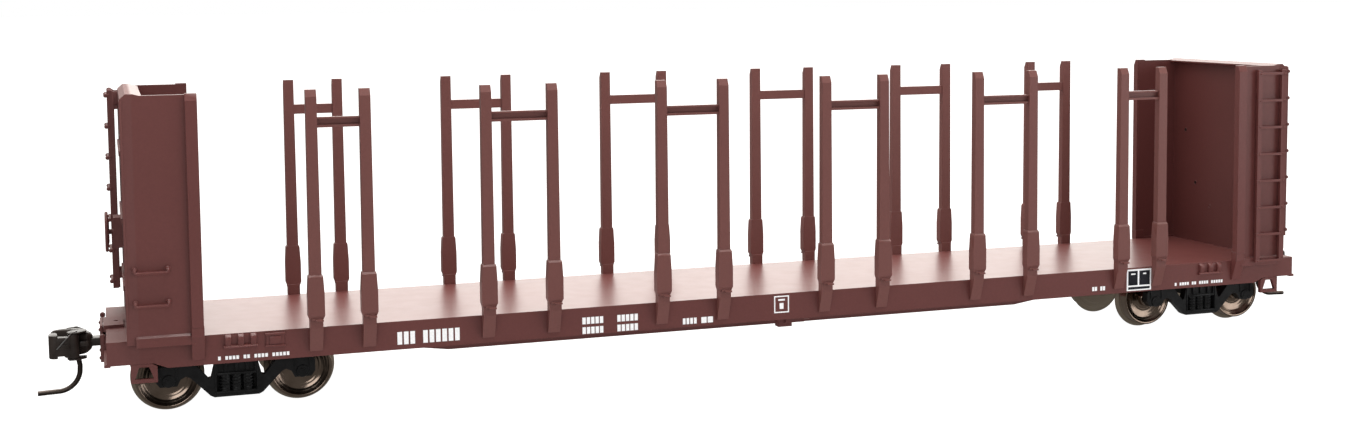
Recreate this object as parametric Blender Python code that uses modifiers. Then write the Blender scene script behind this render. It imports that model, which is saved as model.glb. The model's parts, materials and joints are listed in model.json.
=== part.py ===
"""Bulkhead log flat car with stakes, an HO scale (1:87.1) model railway car.

Units are metres and +Z is up. X runs along the car, with the brake end (B) at -X and the
other end (A) at +X. Y runs across it. Z = 0 is the bottom of the wheel flanges, so the car
stands on a plain surface. All of it but the hand brake and the air brake gear repeats when
the car is turned half a circle about Z. Sizes are given in millimetres and turned to metres
by the helpers.
"""

import math

import bmesh
import bpy
from mathutils import Matrix, Vector

MM = 0.001
FIT_GAP = 0.04
HALF_TURN = Matrix.Rotation(math.pi, 4, "Z")

# Car body
BODY_HALF_LENGTH = 106.1
BODY_HALF_WIDTH = 15.3
DECK_TOP = 12.6
DECK_STEP = (101.0, 0.1)
DECK_UNDERSIDE = 11.45
SILL_BOTTOM = 8.1
SILL_THICKNESS = 1.0
END_SILL_BOTTOM = 8.95
END_SILL_THICKNESS = 1.5
SILL_DROP_END = 97.5
SILL_DROP_START = 99.6
LIP_REACH = 0.4
STRIKER_HALF_WIDTH = 3.7
WALKWAY_RISE = 0.4

# Underframe and weight
FLOOR_PLATE_TOP = 10.3
FLOOR_PLATE_THICKNESS = 0.4
CENTRE_SILL_HALF_WIDTH = 3.5
FISH_BELLY_BOTTOM = 5.0
UNDERFRAME_HALF_LENGTH = 96.4
CENTRE_SILL_BOTTOM = 8.9
CROSSBEARERS = (29.0, 48.5, 66.0)
WEIGHT_HALF_LENGTH = 70.0
WEIGHT_HALF_WIDTH = 13.0

# Stakes
STAKE_INNER = 15.55
STAKE_OUTER = 16.9
STAKE_TOP = 49.2
STAKE_WIDTH_TOP = 1.65
STAKE_WIDTH_BOTTOM = 1.9
STAKE_CHAMFER = (0.55, 1.1)
SLEEVE_BOTTOM = 14.1
SLEEVE_TOP = 20.9
SLEEVE_OUTER = 17.15
FOOT_BOTTOM = 9.0
FOOT_WIDTH = 2.0
CROSSBAR_BOTTOM = 43.4
CROSSBAR_TOP = 45.0
CLOSE_PAIR = 8.1
WIDE_PAIR = 10.7
PAIR_CENTRES = ((71.7, CLOSE_PAIR), (43.55, WIDE_PAIR), (14.575, WIDE_PAIR))

# Bulkheads
POST_START = 92.25
POST_END = 94.0
WALL_INNER = 101.1
WALL_OUTER = 103.1
WALL_LIP = 100.0
WALL_CHAMFER = (0.8, 0.7)
PANEL_INNER = 15.5
PANEL_OUTER = 16.3
PANEL_TOP = 48.95
WALL_TOP = 49.2

# Ladders, grab irons and steps
RUNG_SPACING = 5.0
SIDE_LADDER_STILES = ((96.2, 97.1), (101.4, 102.4))
SIDE_LADDER_INNER = 16.66
SIDE_LADDER_OUTER = 17.3
SIDE_LADDER_RUNG_OUTER = 17.4
END_LADDER_MIDDLE = 12.0
END_LADDER_HALF_WIDTH = 2.9
END_LADDER_STILES = (103.9, 104.8)
END_LADDER_RUNG_OUTER = 105.1
GRAB_HALF_LENGTH = 2.35
GRAB_MIDDLE = 99.5
STEP_MIDDLE = 100.9
STEP_BOTTOM = 6.05

# Trucks
TRUCK_CENTRE = 87.5
HALF_WHEELBASE = 9.9
AXLE_HEIGHT = 5.475
FLANGE_RADIUS = 5.475
TREAD_RADIUS = 4.81
WHEEL_BACK = 7.2
WHEEL_FACE = 10.0
AXLE_RADIUS = 0.77
AXLE_SHOULDER = 11.05
AXLE_TIP = 12.15
AXLE_TIP_RADIUS = 0.08
FRAME_INNER = 11.3
FRAME_OUTER = 12.8
BOLSTER_BOTTOM = 5.95
BOLSTER_TOP = 8.3
BOLSTER_HALF_WIDTH = 2.3
SPRING_RADIUS = 0.78
SPRING_SPACING = 1.62
TRUCK_SCREW_RADIUS = 1.0

# Couplers
COUPLER_PIVOT = 101.0
SHANK_HALF_WIDTH = 1.2
SHANK_BOTTOM = 9.45
SHANK_TOP = 10.7
HEAD_BACK = 108.2
HEAD_BOTTOM = 7.75
HEAD_TOP = 12.15
KNUCKLE_BOTTOM = 8.1
KNUCKLE_TOP = 11.8
KNUCKLE_PIN = (110.9, 2.35)
DRAFT_BOX_BACK = 96.9
DRAFT_BOX_FRONT = 106.55
DRAFT_BOX_BOTTOM = 8.7
DRAFT_BOX_TOP = 11.35
TRIP_PIN_RADIUS = 0.4

# Brakes
BRAKE_WHEEL_CENTRE = (1.0, 26.9)
BRAKE_RIM_RADIUS = 2.95
BRAKE_WIRE_RADIUS = 0.25
BRAKE_WHEEL_OUTSIDE = 105.75
BRAKE_HOUSING_OUTSIDE = 104.5


def collection(name, parent=None):
    made = bpy.data.collections.new(name)
    (parent or bpy.context.scene.collection).children.link(made)
    return made


for old in list(bpy.data.objects):
    bpy.data.objects.remove(old)
PARTS = collection("log_flat_car")
HELPERS = collection("cutters_and_guides")
HELPERS.hide_render = True


# Materials ---------------------------------------------------------------------------------


def material(name, colour, roughness, metallic=0.0):
    made = bpy.data.materials.new(name)
    made.use_nodes = True
    shader = made.node_tree.nodes["Principled BSDF"]
    shader.inputs["Base Color"].default_value = (*colour, 1.0)
    shader.inputs["Roughness"].default_value = roughness
    shader.inputs["Metallic"].default_value = metallic
    made.diffuse_color = (*colour, 1.0)
    return made


BODY_PAINT = material("body_paint", (0.15, 0.045, 0.04), 0.45)
STAKE_PAINT = material("stake_paint", (0.18, 0.07, 0.06), 0.5)
TRUCK_PLASTIC = material("truck_plastic", (0.012, 0.012, 0.013), 0.4)
COUPLER_PLASTIC = material("coupler_plastic", (0.02, 0.015, 0.012), 0.45)
WHEEL_METAL = material("wheel_metal", (0.35, 0.29, 0.25), 0.25, 1.0)
SCREW_METAL = material("screw_metal", (0.4, 0.4, 0.4), 0.35, 1.0)
WEIGHT_STEEL = material("weight_steel", (0.3, 0.3, 0.31), 0.5, 1.0)


# Building helpers --------------------------------------------------------------------------


def helper_object(name, data):
    """An unrendered object in the helpers' collection."""
    made = bpy.data.objects.new(name, data)
    HELPERS.objects.link(made)
    made.hide_render = True
    made.display_type = "WIRE"
    return made


def mesh_of(source, weld=1e-7):
    """The source's evaluated mesh in world space, with its loose caps welded; the source is removed."""
    bpy.context.view_layer.update()
    evaluated = source.evaluated_get(bpy.context.evaluated_depsgraph_get())
    mesh = bpy.data.meshes.new_from_object(evaluated)
    mesh.transform(source.matrix_world)
    shape = bmesh.new()
    shape.from_mesh(mesh)
    bmesh.ops.remove_doubles(shape, verts=shape.verts, dist=weld)
    bmesh.ops.recalc_face_normals(shape, faces=shape.faces)
    shape.to_mesh(mesh)
    shape.free()
    mesh.materials.clear()
    bpy.data.objects.remove(source)
    return mesh


def box(low, high):
    """A block between two corners."""
    low, high = Vector(low) * MM, Vector(high) * MM
    shape = bmesh.new()
    bmesh.ops.create_cube(shape, size=1.0)
    bmesh.ops.scale(shape, vec=high - low, verts=shape.verts)
    bmesh.ops.translate(shape, vec=(low + high) / 2, verts=shape.verts)
    mesh = bpy.data.meshes.new("box")
    shape.to_mesh(mesh)
    shape.free()
    return helper_object("box", mesh)


def blocks_both_sides(low, high):
    """A block and its mirror image across the car."""
    mirrored = box((low[0], -high[1], low[2]), (high[0], -low[1], high[2]))
    return [box(low, high), mirrored]


AXES = {
    "X": Matrix(((0, 0, 1, 0), (1, 0, 0, 0), (0, 1, 0, 0), (0, 0, 0, 1))),
    "Y": Matrix(((1, 0, 0, 0), (0, 0, -1, 0), (0, 1, 0, 0), (0, 0, 0, 1))),
    "Z": Matrix.Identity(4),
}


def prism(outline, axis, low, high):
    """A flat outline, extruded from low to high along an axis. It is in (Y, Z), (X, Z) or (X, Y)."""
    curve = bpy.data.curves.new("outline", "CURVE")
    curve.dimensions = "2D"
    curve.fill_mode = "BOTH"
    curve.extrude = (high - low) / 2 * MM
    spline = curve.splines.new("POLY")
    spline.points.add(len(outline) - 1)
    for point, (across, up) in zip(spline.points, outline):
        point.co = (across * MM, up * MM, 0.0, 1.0)
    spline.use_cyclic_u = True
    guide = helper_object("outline", curve)
    slide = Vector({"X": (1, 0, 0), "Y": (0, 1, 0), "Z": (0, 0, 1)}[axis]) * (low + high) / 2 * MM
    guide.matrix_world = Matrix.Translation(slide) @ AXES[axis]
    return helper_object("prism", mesh_of(guide))


def rod(radius, start, end, sides=12, end_radius=None):
    """A cylinder, or a cone when it ends on another radius, between two points."""
    start, end = Vector(start) * MM, Vector(end) * MM
    shape = bmesh.new()
    last = radius if end_radius is None else end_radius
    length = (end - start).length
    bmesh.ops.create_cone(
        shape, cap_ends=True, segments=sides, radius1=radius * MM, radius2=last * MM, depth=length
    )
    turn = (end - start).to_track_quat("Z", "Y").to_matrix().to_4x4()
    shape.transform(Matrix.Translation((start + end) / 2) @ turn)
    mesh = bpy.data.meshes.new("rod")
    shape.to_mesh(mesh)
    shape.free()
    return helper_object("rod", mesh)


def turned(profile, axis, sides, closed):
    """A lathe shape from (radius, height) points that run down its outer side."""
    mesh = bpy.data.meshes.new("profile")
    points = [(radius * MM, 0.0, height * MM) for radius, height in profile]
    edges = [(index, index + 1) for index in range(len(points) - 1)]
    if closed:
        edges.append((len(points) - 1, 0))
    mesh.from_pydata(points, edges, [])
    guide = helper_object("turned", mesh)
    screw = guide.modifiers.new("turn", "SCREW")
    screw.axis = "Z"
    screw.angle = math.tau
    screw.steps = sides
    screw.render_steps = sides
    screw.use_merge_vertices = True
    screw.merge_threshold = 1e-6
    guide.matrix_world = AXES[axis]
    return helper_object("turned", mesh_of(guide))


def wire(points, radius):
    """A round wire that bends at each point."""
    curve = bpy.data.curves.new("wire", "CURVE")
    curve.dimensions = "3D"
    curve.bevel_depth = radius * MM
    curve.bevel_resolution = 1
    curve.use_fill_caps = True
    spline = curve.splines.new("POLY")
    spline.points.add(len(points) - 1)
    for point, place in zip(spline.points, points):
        point.co = (*(Vector(place) * MM), 1.0)
    return helper_object("wire", mesh_of(helper_object("wire", curve)))


def boolean(target, tools, operation):
    """One exact Boolean of the target with a group of solids, which are then removed."""
    group = collection(operation.lower(), HELPERS)
    for tool in tools:
        HELPERS.objects.unlink(tool)
        group.objects.link(tool)
    modifier = target.modifiers.new(operation.lower(), "BOOLEAN")
    modifier.operation = operation
    modifier.operand_type = "COLLECTION"
    modifier.collection = group
    modifier.solver = "EXACT"
    made = helper_object("solid", mesh_of(target, 1e-8))
    for tool in tools:
        bpy.data.objects.remove(tool)
    bpy.data.collections.remove(group)
    return made


def join(*pieces):
    return boolean(pieces[0], pieces[1:], "UNION")


def cut(target, *cutters):
    return boolean(target, cutters, "DIFFERENCE")


def both_ends(outline):
    """A closed outline from its points on the +X side and their mirror images."""
    return list(outline) + [(-across, up) for across, up in reversed(outline)]


def frozen(solid, centre=(0.0, 0.0, 0.0)):
    """The solid's mesh with its origin moved to centre, ready to be placed."""
    mesh = solid.data
    mesh.transform(solid.matrix_world)
    mesh.transform(Matrix.Translation(-Vector(centre) * MM))
    bpy.data.objects.remove(solid)
    mesh.shade_smooth()
    mesh.set_sharp_from_angle(angle=math.radians(30))
    return mesh


def place(name, mesh, paint, centre=(0.0, 0.0, 0.0), turn=None, parent=None):
    """Puts a mesh in the car as the part called name, with its origin at centre, then turned about Z."""
    if not mesh.materials:
        mesh.materials.append(paint)
    part = bpy.data.objects.new(name, mesh)
    PARTS.objects.link(part)
    moved = Matrix.Translation(Vector(centre) * MM)
    world = (turn or Matrix.Identity(4)) @ moved
    if parent:
        part.parent = parent
        part.matrix_parent_inverse = parent.matrix_world.inverted()
    part.matrix_world = world
    return part


def pivot(name, centre, turn=None, parent=None):
    """An empty on a joint's axis, which carries what the joint moves."""
    empty = bpy.data.objects.new(name, None)
    PARTS.objects.link(empty)
    world = (turn or Matrix.Identity(4)) @ Matrix.Translation(Vector(centre) * MM)
    if parent:
        empty.parent = parent
        empty.matrix_parent_inverse = parent.matrix_world.inverted()
    empty.matrix_world = world
    bpy.context.view_layer.update()
    return empty


# Car body, underframe and weight -----------------------------------------------------------


def car_body():
    """The deck with its deep side sills and shallower ends, hollow below, in one moulding.

    The deck steps down a little where the end walls stand on it.
    """
    step_start, step_down = DECK_STEP
    outline = both_ends(
        [
            (step_start, DECK_TOP),
            (step_start, DECK_TOP - step_down),
            (BODY_HALF_LENGTH, DECK_TOP - step_down),
            (BODY_HALF_LENGTH, END_SILL_BOTTOM),
            (SILL_DROP_START, END_SILL_BOTTOM),
            (SILL_DROP_END, SILL_BOTTOM),
        ]
    )
    body = prism(outline, "Y", -BODY_HALF_WIDTH, BODY_HALF_WIDTH)
    lip_outer = BODY_HALF_LENGTH + LIP_REACH
    extras = []
    for end in (-1, 1):
        lip = sorted((end * (BODY_HALF_LENGTH - 0.5), end * lip_outer))
        extras.append(box((lip[0], -BODY_HALF_WIDTH, 8.76), (lip[1], BODY_HALF_WIDTH, 9.2)))
        walkway = sorted((end * (WALL_OUTER + 0.4), end * lip_outer))
        top = DECK_TOP + WALKWAY_RISE
        extras.append(
            box((walkway[0], -STRIKER_HALF_WIDTH, 12.0), (walkway[1], STRIKER_HALF_WIDTH, top))
        )
    body = join(body, *extras)
    inside_length = BODY_HALF_LENGTH - END_SILL_THICKNESS
    inside_width = BODY_HALF_WIDTH - SILL_THICKNESS
    cutters = [
        box((-inside_length, -inside_width, 5.0), (inside_length, inside_width, DECK_UNDERSIDE))
    ]
    mouth = STRIKER_HALF_WIDTH + 0.15
    for end in (-1, 1):
        span = sorted((end * (inside_length - 0.5), end * (lip_outer + 1.0)))
        cutters.append(box((span[0], -mouth, 5.0), (span[1], mouth, DECK_UNDERSIDE)))
        cutters.append(rod(0.35, (end * 104.6, 0, 12.3), (end * 104.6, 0, 14.0), 8))
        cutters.append(
            rod(0.65, (end * COUPLER_PIVOT, 0, 11.0), (end * COUPLER_PIVOT, 0, 12.1), 8)
        )
    body = cut(body, *cutters)
    place("car_body", frozen(body), BODY_PAINT)


def underframe():
    """The fish-belly centre sill, its floor plate, crossbearers, body bolsters and kingpin bosses."""
    floor_bottom = FLOOR_PLATE_TOP - FLOOR_PLATE_THICKNESS
    outline = both_ends(
        [
            (WEIGHT_HALF_LENGTH + 1, FLOOR_PLATE_TOP),
            (WEIGHT_HALF_LENGTH + 1, DECK_UNDERSIDE - FIT_GAP),
            (UNDERFRAME_HALF_LENGTH, DECK_UNDERSIDE - FIT_GAP),
            (UNDERFRAME_HALF_LENGTH, CENTRE_SILL_BOTTOM),
            (68.0, CENTRE_SILL_BOTTOM),
            (61.0, 6.1),
            (53.0, FISH_BELLY_BOTTOM),
        ]
    )
    frame = prism(outline, "Y", -CENTRE_SILL_HALF_WIDTH, CENTRE_SILL_HALF_WIDTH)
    reach = BODY_HALF_WIDTH - SILL_THICKNESS - 0.3
    pieces = [
        box(
            (-WEIGHT_HALF_LENGTH - 0.9, -reach, floor_bottom),
            (WEIGHT_HALF_LENGTH + 0.9, reach, FLOOR_PLATE_TOP),
        )
    ]
    for place_x in CROSSBEARERS:
        for side in (-1, 1):
            middle = side * place_x
            pieces.append(box((middle - 0.6, -reach, 8.6), (middle + 0.6, reach, 10.0)))
    for end in (-1, 1):
        middle = end * TRUCK_CENTRE
        top = DECK_UNDERSIDE - FIT_GAP
        pieces.append(box((middle - 2.0, -reach, 9.4), (middle + 2.0, reach, top)))
        pieces.append(rod(2.4, (middle, 0, BOLSTER_TOP + 0.05), (middle, 0, 9.5), 16))
    frame = join(frame, *pieces)
    cutters = []
    for end in (-1, 1):
        middle = end * TRUCK_CENTRE
        cutters.append(rod(TRUCK_SCREW_RADIUS + 0.05, (middle, 0, 7.0), (middle, 0, 11.0), 12))
    frame = cut(frame, *cutters)
    place("underframe", frozen(frame), BODY_PAINT)


def steel_weight():
    """The flat steel bar that lies between the underframe's floor plate and the deck."""
    bottom = FLOOR_PLATE_TOP + FIT_GAP
    weight = box(
        (-WEIGHT_HALF_LENGTH, -WEIGHT_HALF_WIDTH, bottom),
        (WEIGHT_HALF_LENGTH, WEIGHT_HALF_WIDTH, DECK_UNDERSIDE - FIT_GAP),
    )
    place("steel_weight", frozen(weight), WEIGHT_STEEL)


# Stakes and bulkheads ----------------------------------------------------------------------


def upright(width_top, width_bottom, top):
    """One stake on the -Y side at X = 0: a bar with its outer top edge cut off, wider lower down."""
    chamfer_in, chamfer_down = STAKE_CHAMFER
    outline = [
        (-STAKE_INNER, SLEEVE_BOTTOM),
        (-STAKE_INNER, top),
        (-STAKE_OUTER + chamfer_in, top),
        (-STAKE_OUTER, top - chamfer_down),
        (-STAKE_OUTER, SLEEVE_BOTTOM),
    ]
    bar = prism(outline, "X", -0.5, 0.5)
    for vertex in bar.data.vertices:
        share = (vertex.co.z / MM - SLEEVE_BOTTOM) / (top - SLEEVE_BOTTOM)
        vertex.co.x *= width_bottom + (width_top - width_bottom) * share
    return bar


def pocket_foot(width, top):
    """The foot below a stake or post, which thins to nothing down the side sill's face."""
    against_sill = BODY_HALF_WIDTH + FIT_GAP
    outline = [
        (-against_sill, FOOT_BOTTOM),
        (-against_sill, top),
        (-STAKE_OUTER + 0.05, top),
        (-STAKE_OUTER + 0.05, DECK_TOP + 0.1),
        (-against_sill - 0.25, FOOT_BOTTOM),
    ]
    return prism(outline, "X", -width / 2, width / 2)


def moved(solid, shift):
    solid.data.transform(Matrix.Translation(Vector(shift) * MM))
    return solid


def sleeve():
    """The sleeve round a stake's foot. It swells downwards, and its front edges are cut off."""
    levels = (
        (SLEEVE_BOTTOM, 1.05, STAKE_OUTER + 0.05),
        (SLEEVE_BOTTOM + 0.6, 1.27, SLEEVE_OUTER),
        (SLEEVE_BOTTOM + 4.0, 1.27, SLEEVE_OUTER),
        (SLEEVE_TOP - 0.3, 1.12, SLEEVE_OUTER),
        (SLEEVE_TOP, 1.05, STAKE_OUTER + 0.02),
    )
    shape = bmesh.new()
    for height, half_width, outer in levels:
        for across in (-half_width, half_width):
            for depth in (-outer, -STAKE_INNER + 0.05):
                shape.verts.new(Vector((across, depth, height)) * MM)
    bmesh.ops.convex_hull(shape, input=shape.verts)
    bmesh.ops.dissolve_limit(
        shape, angle_limit=math.radians(0.5), verts=shape.verts, edges=shape.edges
    )
    bmesh.ops.recalc_face_normals(shape, faces=shape.faces)
    mesh = bpy.data.meshes.new("sleeve")
    shape.to_mesh(mesh)
    shape.free()
    return helper_object("sleeve", mesh)


def stake_frame(spacing):
    """Two stakes on the -Y side, joined near the top by a channel bar; X = 0 is between them."""
    web_inner = -STAKE_INNER - 0.2
    bar_outer = -STAKE_OUTER + 0.3
    bar_outline = [
        (web_inner, CROSSBAR_BOTTOM),
        (web_inner, CROSSBAR_TOP),
        (bar_outer, CROSSBAR_TOP),
        (bar_outer, CROSSBAR_TOP - 0.3),
        (web_inner - 0.3, CROSSBAR_TOP - 0.3),
        (web_inner - 0.3, CROSSBAR_BOTTOM + 0.4),
        (bar_outer, CROSSBAR_BOTTOM + 0.4),
        (bar_outer, CROSSBAR_BOTTOM),
    ]
    pieces = [prism(bar_outline, "X", -spacing / 2, spacing / 2)]
    for side in (-1, 1):
        shift = (side * spacing / 2, 0, 0)
        pieces.append(moved(upright(STAKE_WIDTH_TOP, STAKE_WIDTH_BOTTOM, STAKE_TOP), shift))
        pieces.append(moved(sleeve(), shift))
        nub_low = (-0.75, -SLEEVE_OUTER, SLEEVE_BOTTOM - 0.15)
        pieces.append(moved(box(nub_low, (0.75, -STAKE_INNER, SLEEVE_BOTTOM + 0.2)), shift))
        pieces.append(moved(pocket_foot(FOOT_WIDTH, SLEEVE_BOTTOM + 0.2), shift))
    return join(*pieces)


def stake_frames():
    meshes = {spacing: frozen(stake_frame(spacing)) for spacing in (CLOSE_PAIR, WIDE_PAIR)}
    middles = [(-middle, spacing) for middle, spacing in PAIR_CENTRES]
    middles += [(middle, spacing) for middle, spacing in reversed(PAIR_CENTRES)]
    for number, (middle, spacing) in enumerate(middles, start=1):
        mesh = meshes[spacing]
        place(f"stake_frame_near_{number}", mesh, STAKE_PAINT, (middle, 0, 0))
        place(f"stake_frame_far_{number}", mesh, STAKE_PAINT, (-middle, 0, 0), HALF_TURN)


def bulkheads():
    """The three-sided ends: an end wall between two side panels, each with a post at its open edge."""
    across, down = WALL_CHAMFER
    foot = DECK_TOP - DECK_STEP[1] + FIT_GAP
    profile = [
        (WALL_INNER, foot),
        (WALL_OUTER, foot),
        (WALL_OUTER, WALL_TOP - down),
        (WALL_OUTER - across, WALL_TOP),
        (WALL_INNER + 0.2, WALL_TOP),
        (WALL_LIP, WALL_TOP - 0.35),
        (WALL_LIP, WALL_TOP - 0.65),
        (WALL_INNER, WALL_TOP - 0.85),
    ]
    wall = prism(profile, "Y", -PANEL_OUTER, PANEL_OUTER)
    start, end = POST_START + 0.3, WALL_OUTER + 0.1
    panel = [(start, 12.0), (end, 12.0), (end, PANEL_TOP - down), (end - across, PANEL_TOP)]
    panel.append((start, PANEL_TOP))
    pieces = [prism(panel, "Y", -PANEL_OUTER, -PANEL_INNER)]
    pieces.append(prism(panel, "Y", PANEL_INNER, PANEL_OUTER))
    rib_low = (POST_END - 0.5, -PANEL_OUTER - 0.3, 11.6)
    rib_high = (101.9, -BODY_HALF_WIDTH - FIT_GAP, 12.95)
    pieces += blocks_both_sides(rib_low, rib_high)
    post_width = POST_END - POST_START
    middle = (POST_START + POST_END) / 2
    for turn in (Matrix.Identity(4), HALF_TURN):
        shift = Vector((middle, 0, 0)) * MM
        for piece in (
            upright(post_width, post_width, STAKE_TOP - 0.1),
            pocket_foot(post_width + 0.1, SLEEVE_BOTTOM + 0.2),
        ):
            piece.data.transform(Matrix.Translation(shift) @ turn)
            pieces.append(piece)
    mesh = frozen(join(wall, *pieces))
    place("bulkhead_a", mesh, BODY_PAINT)
    place("bulkhead_b", mesh, BODY_PAINT, turn=HALF_TURN)


# Ladders, grab irons and steps -------------------------------------------------------------


def side_ladders():
    """Eight-rung ladders on the near side of bulkhead A and the far side of bulkhead B."""
    inner, outer = -SIDE_LADDER_INNER, -SIDE_LADDER_OUTER
    left, right = SIDE_LADDER_STILES
    stiles = [box((start, outer, 12.3), (end, inner, 48.2)) for start, end in (left, right)]
    pieces = []
    for number in range(8):
        height = 12.5 + number * RUNG_SPACING
        low = (left[0] - 0.1, -SIDE_LADDER_RUNG_OUTER, height - 0.22)
        high = (right[1] + 0.1, inner - 0.25, height + 0.22)
        pieces.append(box(low, high))
    for start, end in (left, right):
        for height in (16.0, 44.0):
            low = (start + 0.1, inner - 0.2, height)
            high = (end - 0.1, -PANEL_OUTER - FIT_GAP, height + 0.6)
            pieces.append(box(low, high))
    mesh = frozen(join(*stiles, *pieces))
    place("side_ladder_a", mesh, BODY_PAINT)
    place("side_ladder_b", mesh, BODY_PAINT, turn=HALF_TURN)


def end_ladders():
    """Seven-rung ladders that stand off the outside of each end wall, to one side."""
    inner, outer = END_LADDER_STILES
    near = -END_LADDER_MIDDLE - END_LADDER_HALF_WIDTH
    far = -END_LADDER_MIDDLE + END_LADDER_HALF_WIDTH
    pieces = []
    for start in (near, far - 0.7):
        pieces.append(box((inner, start, 16.6), (outer, start + 0.7, 48.5)))
        for height in (18.4, 45.5):
            low = (WALL_OUTER + FIT_GAP, start + 0.1, height)
            pieces.append(box(low, (inner + 0.2, start + 0.6, height + 0.6)))
    for number in range(7):
        height = 17.7 + number * RUNG_SPACING
        low = (outer - 0.35, near - 0.1, height - 0.22)
        pieces.append(box(low, (END_LADDER_RUNG_OUTER, far + 0.1, height + 0.22)))
    mesh = frozen(join(*pieces))
    place("end_ladder_a", mesh, BODY_PAINT)
    place("end_ladder_b", mesh, BODY_PAINT, turn=HALF_TURN)


def grab_irons():
    """Drop grab irons: a wire foot on the panel, out, down a little and across."""
    foot, reach = -PANEL_OUTER - FIT_GAP, -PANEL_OUTER - 0.85
    for place_name, height in (("lower", 17.75), ("upper", 22.7)):
        points = []
        for side in (-1, 1):
            along = side * GRAB_HALF_LENGTH
            leg = [
                (along, foot, height + 0.6),
                (along, reach, height + 0.6),
                (along, reach, height),
            ]
            points += leg if side < 0 else leg[::-1]
        mesh = frozen(wire(points, 0.24))
        place(f"grab_iron_b_{place_name}", mesh, BODY_PAINT, (-GRAB_MIDDLE, 0, 0))
        place(f"grab_iron_a_{place_name}", mesh, BODY_PAINT, (-GRAB_MIDDLE, 0, 0), HALF_TURN)


def stirrup_step(side):
    """A box step with a tapered opening. Its side towards the car's middle clears the sloping sill."""
    top = END_SILL_BOTTOM - FIT_GAP
    outline = [(1.9, top), (1.9, STEP_BOTTOM), (-1.9, STEP_BOTTOM), (-1.9, top - 0.45), (-1.1, top)]
    opening = both_ends([(0.7, top - 0.5), (1.35, STEP_BOTTOM + 0.6)])
    inner, outer = -BODY_HALF_WIDTH + 0.8, -BODY_HALF_WIDTH + 0.1
    step = prism([(side * across, up) for across, up in outline], "Y", outer, inner)
    return frozen(cut(step, prism(opening, "Y", outer - 1, inner + 1)))


def stirrup_steps():
    """The four steps under the corners of the car."""
    outward_left, outward_right = stirrup_step(-1), stirrup_step(1)
    place("step_near_b", outward_left, BODY_PAINT, (-STEP_MIDDLE, 0, 0))
    place("step_near_a", outward_right, BODY_PAINT, (STEP_MIDDLE, 0, 0))
    place("step_far_a", outward_left, BODY_PAINT, (-STEP_MIDDLE, 0, 0), HALF_TURN)
    place("step_far_b", outward_right, BODY_PAINT, (STEP_MIDDLE, 0, 0), HALF_TURN)


# Trucks ------------------------------------------------------------------------------------


def side_frame():
    """A cast side frame on the -Y side: spring window, triangular windows, arms and bearing boxes."""
    outline = both_ends(
        [
            (5.4, 8.9),
            (8.0, 7.9),
            (11.1, 7.8),
            (11.8, 7.1),
            (11.8, 5.4),
            (11.2, 4.6),
            (8.7, 4.6),
            (8.2, 5.6),
            (7.4, 6.0),
            (6.75, 5.7),
            (3.9, 2.75),
            (3.3, 2.45),
        ]
    )
    frame = prism(outline, "Y", -FRAME_OUTER, -FRAME_INNER)
    cutters = [box((-2.95, -14, 3.3), (2.95, -10, 5.85))]
    cutters.append(box((-2.7, -14, 6.15), (2.7, -FRAME_OUTER + 0.3, 7.7)))
    for side in (-1, 1):
        window = [(side * 4.15, 5.4), (side * 3.75, 5.5), (side * 3.2, 7.8), (side * 6.1, 7.8)]
        cutters.append(prism(window, "Y", -14, -10))
        middle = side * HALF_WHEELBASE
        mouth = (middle, -FRAME_INNER + 0.05, AXLE_HEIGHT)
        cutters.append(rod(0.70, mouth, (middle, -12.30, AXLE_HEIGHT), 10, 0.045))
    return cut(frame, *cutters)


def truck_frame():
    """Two side frames, the spring groups and the bolster, in one moulding; X = 0 is the kingpin."""
    near = side_frame()
    far = side_frame()
    far.data.transform(HALF_TURN)
    pieces = [
        far,
        box(
            (-BOLSTER_HALF_WIDTH, -FRAME_INNER - 0.3, BOLSTER_BOTTOM),
            (BOLSTER_HALF_WIDTH, FRAME_INNER + 0.3, BOLSTER_TOP - 0.5),
        ),
        rod(3.0, (0, 0, BOLSTER_BOTTOM), (0, 0, BOLSTER_TOP), 16),
    ]
    for side in (-1, 1):
        for number in (-1, 0, 1):
            spot = (number * SPRING_SPACING, side * (FRAME_INNER + FRAME_OUTER) / 2)
            pieces.append(rod(SPRING_RADIUS, (*spot, 3.1), (*spot, 6.05), 8))
    frame = join(near, *pieces)
    hole = rod(TRUCK_SCREW_RADIUS + 0.15, (0, 0, 4.0), (0, 0, 10.0), 12)
    return frozen(cut(frame, hole))


def wheel_profile():
    """A wheel from its face down to its back: rim, dished plate, hub, tread and flange, with a bore."""
    bore = AXLE_RADIUS + FIT_GAP
    face, back = WHEEL_FACE, WHEEL_BACK
    return [
        (bore, face - 0.15),
        (1.25, face - 0.15),
        (1.55, face - 0.95),
        (3.7, face - 0.75),
        (3.95, face - 0.05),
        (TREAD_RADIUS - 0.15, face),
        (TREAD_RADIUS, back + 0.9),
        (FLANGE_RADIUS, back + 0.5),
        (FLANGE_RADIUS - 0.1, back + 0.1),
        (TREAD_RADIUS - 0.1, back),
        (bore, back),
    ]


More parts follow.
